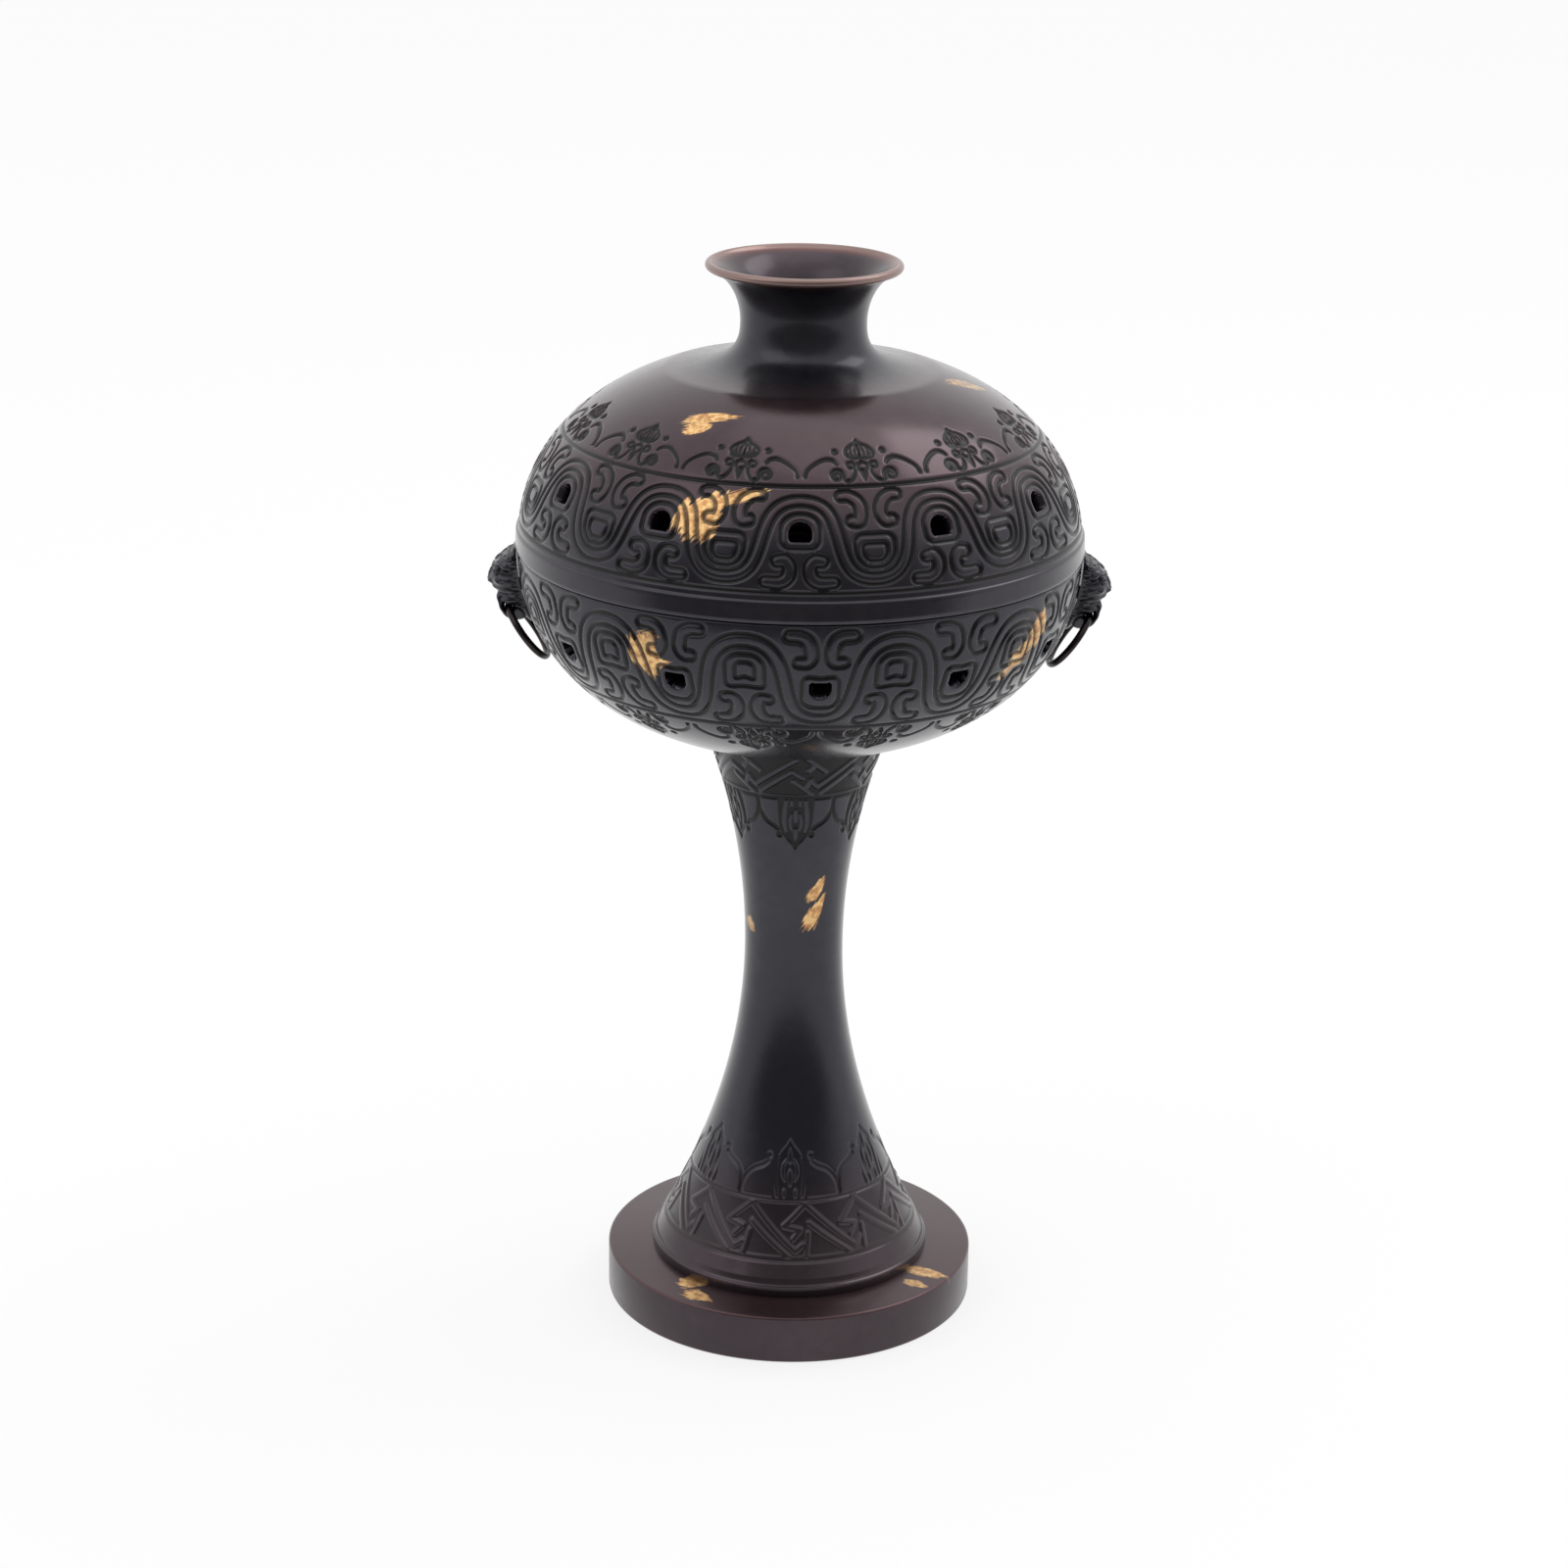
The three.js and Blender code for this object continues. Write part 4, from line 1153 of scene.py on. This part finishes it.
# %% Key-fret and pendant motifs
FRET_HALF = 0.46
PENDANTS = 6
FRET_STROKES = [
    [(0.0, 0.22), (0.73, 0.99)],
    [(0.07, 0.06), (0.60, 0.61), (0.76, 0.45)],
    [(0.78, 0.99), (1.11, 0.60)],
    [(0.84, 0.64), (0.96, 0.79)],
    [(0.62, 0.37), (0.93, 0.02)],
    [(0.80, 0.18), (0.90, 0.40)],
    [(0.0, 0.22), (-0.11, 0.37)],
]
FOOT_STROKES = [
    [(0.07, 0.02), (0.88, 0.9), (1.0, 0.78)],
    [(0.12, 0.38), (0.78, 1.0)],
    [(1.07, 0.02), (0.68, 0.43), (0.97, 0.5), (0.84, 0.68)],
    [(0.10, 0.56), (0.05, 0.98)],
]
PENDANT_STROKE = [
    (30, 0.2, 0.45), (30, 1.9, 0.4), (28.3, 3.6, 0.42), (24.3, 5.0, 0.44), (18, 5.9, 0.44), (14.8, 6.6, 0.4),
]
PENDANT_GROUND = [
    (0, 0.2, 3.4), (0, 3.0, 3.2), (0, 5.5, 2.9), (0, 7.4, 2.0), (0, 9.0, 0.95), (0, 10.6, 0.12),
]
PENDANT_LEAVES = [
    [(7.2, 0.4, 0.35), (8.8, 3.0, 0.42), (9.5, 5.2, 0.42), (8.0, 7.1, 0.3)],
    [(0, 2.6, 0.3), (0, 4.0, 0.5), (0, 5.1, 0.25)],
    [(3.2, 0.4, 0.3), (3.4, 1.6, 0.3)],
    [(3.2, 3.4, 0.22), (4.6, 4.6, 0.34), (4.3, 6.0, 0.3), (2.4, 6.9, 0.22)],
    [(0, 6.6, 0.3), (0, 7.8, 0.4), (0, 9.0, 0.12)],
]


def fret(azimuth, height, scale, strokes, cells, origin, tall):
    """Distance to the sunken ground of a fret band: positive on the strokes, negative between them."""
    width = 360 / cells
    x = (azimuth - origin) % width
    best = np.full(np.broadcast(x, height).shape, 1e3)
    for stroke in strokes:
        for shift in (-1, 0, 1):
            path = [((u + shift) * width, v * tall, FRET_HALF) for u, v in stroke]
            best = np.minimum(best, ribbon(x, height, scale, path))
    inside = np.maximum(-height, height - tall) + 0 * x
    return np.maximum(-best, inside)


def pendants(azimuth, hang, scale):
    """Distance to the cuts of a row of pendants; hang is the height below (or above) their border."""
    width = 360 / PENDANTS
    x = np.abs((azimuth + width / 2) % width - width / 2)
    ground = ribbon(x, hang, scale, smooth_path(PENDANT_GROUND))
    for leaf in PENDANT_LEAVES:
        ground = np.maximum(ground, -ribbon(x, hang, scale, smooth_path(leaf)))
    ground = np.maximum(ground, 0.35 - hang)
    stroke = ribbon(x, hang, scale, smooth_path(PENDANT_STROKE))
    spot = dot(x, hang, scale, 14.0, 7.7, 0.6)
    border = np.abs(hang) - LINE_HALF
    return np.min([ground, stroke, spot, border + 0 * x], axis=0)


TOP_BORDER, TOP_FRET, TOP_TALL = 104.0, 104.6, 8.3
FOOT_BORDER, FOOT_FRET, FOOT_TALL, FOOT_LINE = 25.8, 16.2, 9.0, 15.6


def stem_top_cut(azimuth, z, scale):
    """Fret band under the bowl, with pendants hanging from its border."""
    band = fret(azimuth, z - TOP_FRET, scale, FRET_STROKES, 8, -30.0, TOP_TALL)
    return np.minimum(band, pendants(azimuth, TOP_BORDER - z, scale))


def stem_foot_cut(azimuth, z, scale):
    """The same band turned over above the foot, with pendants standing on it and a line under it."""
    band = fret(azimuth, FOOT_FRET + FOOT_TALL - z, scale, FOOT_STROKES, 12, 6.7, FOOT_TALL)
    lines = np.abs(z - FOOT_LINE) - LINE_HALF + 0 * azimuth
    return np.min([band, pendants(azimuth, z - FOOT_BORDER, scale), lines], axis=0)


# %% Stem pieces
FINE_SHARE = 0.7
FOOT_WORN = 0.09
FOOT_TONE_LOSS = 0.62
PLAIN_ROWS, INSIDE_ROWS = 60, 14


def engraved_stem(name, low, high, columns, cut, before, after, inside_high, inside_low):
    """A closed piece of the stem between two heights, its rows moved in along the normal by the cut.

    The section is: the points before, the engraved rows upwards, the points after, and the inside.
    """
    azimuth = full_round(columns)
    z = np.linspace(low, high, int(round((high - low) / ROW_STEP)) + 1 if cut else PLAIN_ROWS)[:, None]
    radius = stem_radius(z)
    slope = np.gradient(radius[:, 0], z[:, 0])[:, None]
    length = np.hypot(1, slope)
    depth = tone = np.zeros((len(z), columns))
    if cut:
        distance = cut(azimuth, z, np.radians(radius))
        depth = FINE_SHARE * cut_depth(distance)
        tone = engraved_tone(distance) * (1 - FOOT_TONE_LOSS * ease(z, 60, 40))
    outer = place(radius - depth / length, azimuth, z + depth * slope / length)
    inside_z = np.linspace(inside_high, inside_low, INSIDE_ROWS)[:, None]
    inner = place(stem_radius(inside_z) - STEM_WALL, azimuth, inside_z)
    lead = rings(before, azimuth)
    points = np.concatenate([lead, outer, rings(after, azimuth), inner])
    tones = np.zeros(points.shape[:2])
    tones[len(lead) : len(lead) + len(z)] = tone
    wear = FOOT_WORN * ease(points[..., 2], 40, 14)
    faces = [grid_quads(len(points), columns)]
    make_piece(name, points, faces, "base", "cast_bronze", "stem", {"engraved": tones, "worn": wear})


RIM_STEP = [(24.3, 9.2), (26.4, 9.2), (26.48, 9.23), (26.5, 9.3), (26.5, 10.9), (26.42, 11.12), (26.2, 11.2)]
RIM_STEP += [(25.98, 11.35), (25.8, 11.8)]
STEM_SPLITS = (38.0, 92.0)
engraved_stem("stem_foot", SWEEP_LOW, STEM_SPLITS[0], 720, stem_foot_cut, RIM_STEP, [], STEM_SPLITS[0], 11.2)
engraved_stem("stem_waist", *STEM_SPLITS, 192, None, [], [], STEM_SPLITS[1], STEM_SPLITS[0])
stem_cap = [(16.6, STEM_TOP), (ROD_HOLE, STEM_TOP), (ROD_HOLE, 110.7)]
engraved_stem(
    "stem_top", STEM_SPLITS[1], STEM_TOP - 0.2, 480, stem_top_cut, [], stem_cap, 110.7, STEM_SPLITS[1]
)

# %% [markdown]
# ## The foot
# The foot is a plain heavy disc with eased edges, hollow below. A spigot on it centres the stem.

# %% Foot disc
FOOT_SECTION = [
    (3.2, 5.6), (28, 5.6), (28, 0), (35, 0), (35, 9.2), (24, 9.2), (24, 10.8), (3.2, 10.8),
]
FOOT_TOP_WORN, FOOT_EDGE_WORN = 0.08, 0.12
foot_section = eased_corners(FOOT_SECTION, 0.55)
foot_radius, foot_height = foot_section.T
foot_edges = (foot_radius > 34.7) * ((foot_height > 8.8) | (foot_height < 0.4))
foot_worn = FOOT_WORN + FOOT_TOP_WORN * (foot_height > 9.1) + FOOT_EDGE_WORN * foot_edges
turned("foot_disc_cast", foot_section, 288, "base", "cast_bronze", "foot_disc", worn=foot_worn)

# %% [markdown]
# ## Beast masks
# On the real burner each mask is a small casting screwed on from inside. It is modelled as a head
# whose level sections are D-shaped: a curved front that starts from a depth and a width at each
# height, and a back that follows the bowl. Brows, eyes, snout, lips and ears are soft bumps and
# hollows that push the front along its own direction. A loop below the lips holds the ring.
# Each row of the profile is (height, depth, half width), and each row of a feature is (distance from
# the middle, height, amount, reach across, reach up).

# %% Mask head
MASK_PROFILE = [
    (133.6, 1.0, 2.3), (134.4, 1.5, 3.0), (136.0, 1.7, 3.2), (136.4, 3.4, 3.0), (136.8, 4.8, 3.0),
    (137.5, 5.2, 3.2), (138.3, 4.6, 3.3), (139.3, 4.9, 3.6), (140.8, 5.6, 3.9), (142.0, 5.3, 4.2),
    (143.5, 4.6, 4.4), (145.2, 3.3, 4.4), (146.6, 1.8, 3.7), (147.6, 0.4, 2.4),
]
MASK_GAP = 0.3
MASK_FEATURES = {
    "brow": [
        (0.75, 143.9, 0.5, 0.5, 0.45), (1.5, 144.5, 0.6, 0.55, 0.45), (2.4, 144.85, 0.65, 0.6, 0.45),
        (3.3, 144.7, 0.65, 0.6, 0.5), (4.0, 144.1, 0.6, 0.5, 0.6),
    ],
    "brow curl": [
        (1.5, 145.75, 0.5, 0.7, 0.55), (1.5, 145.75, -0.6, 0.28, 0.25), (3.0, 146.0, 0.5, 0.65, 0.5),
        (3.0, 146.0, -0.55, 0.26, 0.22),
    ],
    "crest": [(0.0, 145.3, 0.55, 0.4, 0.7), (0.0, 146.7, 0.45, 0.45, 0.7)],
    "eye hollow": [(2.2, 143.05, -0.75, 1.15, 0.75), (4.0, 142.6, -0.5, 0.6, 0.8)],
    "nose bridge": [(0.0, 142.9, 0.35, 0.45, 1.0), (0.0, 141.9, 0.3, 0.5, 0.6)],
    "nose": [(0.0, 141.0, 0.45, 0.85, 0.5), (1.05, 140.8, 0.45, 0.5, 0.42), (0.6, 140.35, -0.6, 0.26, 0.2)],
    "muzzle": [(1.2, 139.7, 0.4, 0.9, 0.5), (0.0, 139.7, -0.35, 0.16, 0.55), (2.7, 139.3, 0.35, 0.6, 0.5)],
    "fang": [(1.75, 138.6, 0.45, 0.24, 0.5)],
    "cheek": [(3.3, 141.3, 0.5, 0.75, 0.75), (3.3, 141.3, -0.55, 0.3, 0.3), (3.5, 139.6, 0.35, 0.6, 0.55)],
    "ear": [(4.1, 146.0, 0.8, 0.6, 0.7), (4.1, 146.0, -0.6, 0.28, 0.35)],
    "lip": [(1.0, 137.3, 0.25, 0.8, 0.4), (2.4, 137.5, 0.3, 0.7, 0.5)],
}
EYE, EYE_OUT = (2.2, 143.05, 0.85), 0.8
PUPIL, PUPIL_IN = (2.3, 143.0, 0.3), -0.35
FRONT_POWER = 0.8
MANE_PITCH, MANE_RELIEF = 0.95, 0.2
FRONT_COLUMNS, BACK_COLUMNS, HEAD_ROWS = 161, 40, 170
# Strength of the painted shade in the masks' hollows and on their sides under the brow.
HOLLOW_SHADE_TONE = 0.6
SIDES = ("left", "right")


def head_points():
    """D-shaped level sections: wall + depth cos^power outwards and width sin across, pushed by bumps.

    A bump is amount exp(-(across off / wide)^2 - (height off / tall)^2), and an eye is half a ball.
    """
    profile = smooth_path(MASK_PROFILE, 8)
    z = np.linspace(profile[0, 0], profile[-1, 0], HEAD_ROWS)[:, None]
    depth = np.interp(z, profile[:, 0], profile[:, 1])
    width = np.interp(z, profile[:, 0], profile[:, 2])
    theta = np.radians(np.linspace(-90, 90, FRONT_COLUMNS))[None, :]
    y = width * np.sin(theta)
    wall = np.sqrt((body_radius(z) + MASK_GAP) ** 2 - y**2)
    x = wall + depth * np.maximum(np.cos(theta), 0) ** FRONT_POWER
    push = np.zeros(x.shape)
    across = np.abs(y)
    for bumps in MASK_FEATURES.values():
        for by, bz, amount, wide, tall in bumps:
            push += amount * np.exp(-(((across - by) / wide) ** 2) - ((z - bz) / tall) ** 2)
    for (by, bz, size), amount in ((EYE, EYE_OUT), (PUPIL, PUPIL_IN)):
        gap = ((across - by) ** 2 + (z - bz) ** 2) / size**2
        push += amount * np.sqrt(np.maximum(0, 1 - gap))
    mane = ease(x - wall, 2.2, 0.8) * ease(z, 137.0, 138.0)
    push += MANE_RELIEF * mane * np.cos(2 * np.pi * (z + 0.35 * across) / MANE_PITCH)
    push *= ease(np.cos(theta), 0, 0.25)
    x, y = x + push * np.cos(theta), y + push * np.sin(theta)
    back_y = width * np.linspace(1, -1, BACK_COLUMNS + 2)[None, 1:-1]
    back_x = np.sqrt((body_radius(z) + MASK_GAP) ** 2 - back_y**2)
    front = np.stack(np.broadcast_arrays(x, y, z), axis=-1)
    back = np.stack(np.broadcast_arrays(back_x, back_y, z), axis=-1)
    # Painted shade: the sides under the brow and each hollow pushed into the front are painted dark, for the
    # shade that falls there.
    side_shade = 0.5 * ease(np.abs(np.sin(theta)), 0.6, 0.95) * ease(z, 144.0, 142.5) + 0 * push
    hollow = np.maximum(ease(push, 0.05, -0.35), side_shade)
    return np.concatenate([front, back], axis=1), np.pad(hollow, ((0, 0), (0, BACK_COLUMNS)))


# %% Ring loop and mask pieces
RING_PIVOT = (53.2, 136.0)
LOOP_HOLE, LOOP_HALF_WIDTH, LOOP_FLARE, CHIN_TAPER, JAW_CORNER = 0.74, 2.0, 0.088, 0.6, 0.62
BEARD_PITCH, BEARD_RELIEF = 0.75, 0.13
LOOP_OUTLINE = [
    (0, 1.75), (22, 2.1), (45, 3.1), (70, 3.2), (90, 2.9), (135, 2.9), (180, 3.7), (213, 3.8), (237, 3.2),
    (270, 2.4), (305, 1.8), (330, 1.62), (360, 1.75),
]


def loop_points(around=96, across=64):
    """A ring-shaped plate: a rounded square section between an outline given by angle and the hole.

    The hole's radius is LOOP_HOLE + LOOP_FLARE y^2, so it follows the bend of the ring's wire.
    """
    alpha = np.linspace(0, 360, around, endpoint=False)[:, None]
    outline = smooth_path([(a, r, 0) for a, r in LOOP_OUTLINE], 8)
    far = np.interp(alpha, outline[:, 0], outline[:, 1])
    beta = np.linspace(0, 2 * np.pi, across, endpoint=False)[None, :]
    square = [np.sign(turn) * np.abs(turn) ** JAW_CORNER for turn in (np.cos(beta), np.sin(beta))]
    angle = np.radians(alpha)
    y = (LOOP_HALF_WIDTH - CHIN_TAPER * np.maximum(0, -np.sin(angle)) ** 1.5) * square[1]
    hole = LOOP_HOLE + LOOP_FLARE * y**2
    strands = BEARD_RELIEF * (1 + np.cos(2 * np.pi * y / BEARD_PITCH))
    beard = strands * (square[0] > 0.6) * ease(far, 3.6, 3.0)
    reach = (far + hole) / 2 + (far - hole) / 2 * square[0] - beard
    x = RING_PIVOT[0] + reach * np.cos(angle)
    z = RING_PIVOT[1] + reach * np.sin(angle)
    return np.stack(np.broadcast_arrays(x, y, z), axis=-1)


def half_turned(points, side):
    """Points for the right-hand side, or turned half round the upright axis for the left."""
    return points * (1, 1, 1) if side == "right" else points * (-1, -1, 1)


head, head_painted_shade = head_points()
head_columns = head.shape[1]
head_faces = capped_faces(HEAD_ROWS, head_columns)
loop = loop_points()
loop_faces = grid_quads(*loop.shape[:2]) + head_columns * HEAD_ROWS
mask_points = np.concatenate([head.reshape(-1, 3), loop.reshape(-1, 3)])
# The masks' painted shade goes into the "engraved" mark, which the bronze material turns dark.
mask_painted_shade = np.concatenate([HOLLOW_SHADE_TONE * head_painted_shade.reshape(-1), np.zeros(loop[..., 0].size)])
for side in SIDES:
    make_piece(
        f"{side}_mask", half_turned(mask_points, side), head_faces + [loop_faces],
        "base", "cast_bronze", f"{side}_beast_mask", {"engraved": mask_painted_shade},
    )

# %% [markdown]
# Each ring is a plain hoop of round wire. At rest it leans in along the bowl under its own weight.

# %% Rings
RING_RADIUS, RING_WIRE, RING_SLANT = 5.83, 0.65, math.radians(36.3)


def hoop_points(around=144, across=28):
    """A circle of wire, in the plane of Y and the way it hangs, one ring radius below the pivot."""
    psi = np.linspace(0, 2 * np.pi, around, endpoint=False)[:, None]
    beta = np.linspace(0, 2 * np.pi, across, endpoint=False)[None, :]
    hang = np.array([-math.sin(RING_SLANT), 0, -math.cos(RING_SLANT)])
    across_axis = np.array([0.0, 1.0, 0.0])
    normal = np.cross(hang, across_axis)
    radial = -np.cos(psi)[..., None] * hang + np.sin(psi)[..., None] * across_axis
    reach = RING_RADIUS + RING_WIRE * np.cos(beta)[..., None]
    center = np.array([RING_PIVOT[0], 0, RING_PIVOT[1]]) + RING_RADIUS * hang
    return center + reach * radial + RING_WIRE * np.sin(beta)[..., None] * normal


hoop = hoop_points()
hoop_faces = [grid_quads(*hoop.shape[:2])]
for side in SIDES:
    ring_name = f"{side}_ring"
    make_piece(f"{side}_hoop", half_turned(hoop, side), hoop_faces, ring_name, "ring_bronze", ring_name)

# %% [markdown]
# ## Inside
# With the lid off, the ash cup and the stick socket show, and under them the nut of the rod that
# holds bowl, stem and foot together. They are turned parts with eased edges; the rod has a real
# thread where it can be seen, and the nuts are hexagons cut by a cone at each face.

# %% Ash cup and stick socket
CUP_RIM, CUP_UNDER, CUP_WELL = 141.8, 122.4, 124.0
cup_section = np.vstack([
    [(0.5, CUP_UNDER), (12.1, CUP_UNDER), (12.3, 122.3), (12.4, 122.1), (12.4, 117.3), (12.6, 117.0),
     (13.8, 117.0), (14.0, 117.3), (14.0, 121.6)],
    bezier((14.0, 122.0), (25.73, 122.4), (33.4, 128.4), (34.0, CUP_RIM - 0.7), 40),
    arc((33.2, CUP_RIM - 0.8), 0.8, 8, 172, 12),
    bezier((32.4, CUP_RIM - 0.8), (31.8, 130.4), (24.73, CUP_WELL), (14.0, CUP_WELL), 40),
    [(0.5, CUP_WELL)],
])
turned("ash_cup_spun", cup_section, 192, "ash_cup", "cup_brass", "ash_cup", closed=False)

SOCKET_TOP, STICK_FLOOR = 130.0, 125.5
socket_section = np.vstack([
    [(0.4, CUP_WELL), (6.8, CUP_WELL), (7.0, CUP_WELL + 0.2), (7.0, 125.1), (6.75, 125.4)],
    bezier((6.3, 125.5), (4.6, 125.9), (4.0, 126.8), (3.75, 128.0), 10),
    [(3.45, 129.6), (3.2, 129.95), (2.9, SOCKET_TOP), (1.75, SOCKET_TOP), (1.45, 129.8), (1.4, 129.5)],
    [(1.4, STICK_FLOOR + 0.2), (1.2, STICK_FLOOR), (0.2, STICK_FLOOR)],
])
turned("stick_socket_turned", socket_section, 96, "stick_socket", "cup_brass", "stick_socket", closed=False)

# %% Tie rod with thread
ROD_RADIUS, ROD_LOW, ROD_HIGH = 2.9, 0.6, 122.0
THREAD_PITCH, THREAD_DEPTH = 0.8, 0.42
THREAD_LOW_END, THREAD_HIGH_START = 8.0, 114.0
ROD_COLUMNS = 40


def threaded_rod():
    """A rod whose radius loses, near its ends, a triangle wave of (height / pitch - azimuth / 360)."""
    low_end = np.arange(ROD_LOW, THREAD_LOW_END, 0.1)
    high_end = np.arange(THREAD_HIGH_START, ROD_HIGH + 0.05, 0.1)
    z = np.concatenate([low_end, high_end])[:, None]
    azimuth = full_round(ROD_COLUMNS)
    wave = np.abs(2 * ((z / THREAD_PITCH - azimuth / 360) % 1) - 1)
    fade = ease(np.minimum(np.abs(z - THREAD_LOW_END), np.abs(z - THREAD_HIGH_START)), 0, 0.6)
    chamfer = 0.5 * np.maximum(0, 1 - np.minimum(z - ROD_LOW, ROD_HIGH - z) / 0.5)
    points = place(ROD_RADIUS - THREAD_DEPTH * wave * fade - chamfer, azimuth, z)
    faces = capped_faces(len(z), ROD_COLUMNS)
    make_piece("tie_rod_threaded", points, faces, "base", "hardware_steel", "tie_rod")


threaded_rod()

# %% Nuts, washers, bosses and screws
NUT_ACROSS_FLATS, NUT_HEIGHT = 11.5 * math.cos(math.radians(30)), 3.0
NUT_BORE = [(3.5, 3.0), (3.1, 2.7), (3.1, 0.3), (3.5, 0.0)]
NUT_LEVELS = [0, 0.1, 0.25, 0.45, 0.7, 1.0, 2.0, 2.3, 2.55, 2.75, 2.9, 3.0]
NUT_COLUMNS = 120
WASHER_RADIUS, WASHER_THICKNESS = 7.0, 1.2


def hex_nut(name, low, node):
    """Half the width across flats / cos(angle off the flat), kept inside a cone near each face."""
    azimuth = full_round(NUT_COLUMNS)
    z = np.array(NUT_LEVELS)[:, None]
    flat = NUT_ACROSS_FLATS / 2 / np.cos(np.radians((azimuth + 30) % 60 - 30))
    cone = NUT_ACROSS_FLATS / 2 - 0.12 + 1.25 * np.minimum(z, NUT_HEIGHT - z)
    outside = place(np.minimum(flat, cone), azimuth, low + z)
    inside = rings([(radius, low + height) for radius, height in NUT_BORE], azimuth)
    points = np.concatenate([outside, inside])
    make_piece(name, points, [grid_quads(len(points), NUT_COLUMNS)], "base", "hardware_steel", node)


def washer(name, low, node):
    """A flat ring with eased edges."""
    high = low + WASHER_THICKNESS
    corners = [(ROD_HOLE, low), (WASHER_RADIUS, low), (WASHER_RADIUS, high), (ROD_HOLE, high)]
    turned(name, eased_corners(corners, 0.2), 96, "base", "hardware_steel", node)


hex_nut("foot_nut_hex", 1.4, "foot_nut")
hex_nut("bowl_nut_hex", 118.2, "bowl_nut")
washer("foot_washer_plain", 4.4, "foot_washer")
washer("bowl_washer_plain", 117.0, "bowl_washer")

SCREW_HEIGHT = 140.2
BOSS_STANDOUT = 1.1
SLOT_DEPTH, SLOT_HALF = 0.7, 0.3
screw_wall = float(body_radius(SCREW_HEIGHT))
boss_face = screw_wall - BOWL_WALL - BOSS_STANDOUT


def laid_along_x(points, side):
    """An upright turned shape laid along +X at the screw's height, on either side."""
    laid = np.stack([points[..., 2], points[..., 1], SCREW_HEIGHT - points[..., 0]], axis=-1)
    return half_turned(laid, side)


def side_part(name, section, columns, finish, node, side, slot_half=0.0):
    """A turned section laid along X between flat discs; slot_half cuts a driver's slot in the first disc."""
    upright = rings(section, full_round(columns))
    if slot_half:
        head_rows = upright[..., 2] < section[0][1] + 0.3
        slot = ease(np.abs(upright[..., 1]), slot_half + 0.12, slot_half) * head_rows
        upright[..., 2] += SLOT_DEPTH * slot
    make_piece(name, laid_along_x(upright, side), capped_faces(len(section), columns), "base", finish, node)


boss_back = screw_wall - 1.0
boss_section = [
    (1.5, boss_face), (2.8, boss_face), (3.0, boss_face + 0.2), (3.0, boss_back), (1.5, boss_back),
]
head_face = boss_face - 1.6
screw_section = [(r, head_face + 0.02 * r) for r in np.linspace(0.1, 1.9, 22)]
screw_section += [(2.1, head_face + 0.15), (2.2, head_face + 0.4), (2.2, boss_face - 0.1), (2.1, boss_face)]
screw_section += [(1.2, boss_face), (1.2, screw_wall + 2.8), (0.9, screw_wall + 3.0)]
for side in SIDES:
    side_part(f"{side}_boss", boss_section, 64, "cast_bronze", "bowl", side)
    screw_name = f"{side}_mask_screw"
    side_part(f"{side}_slotted_screw", screw_section, 96, "hardware_steel", screw_name, side, SLOT_HALF)

# %% Sizes of the pieces
print("triangles in all:", sum(PIECE_SIZES.values()))
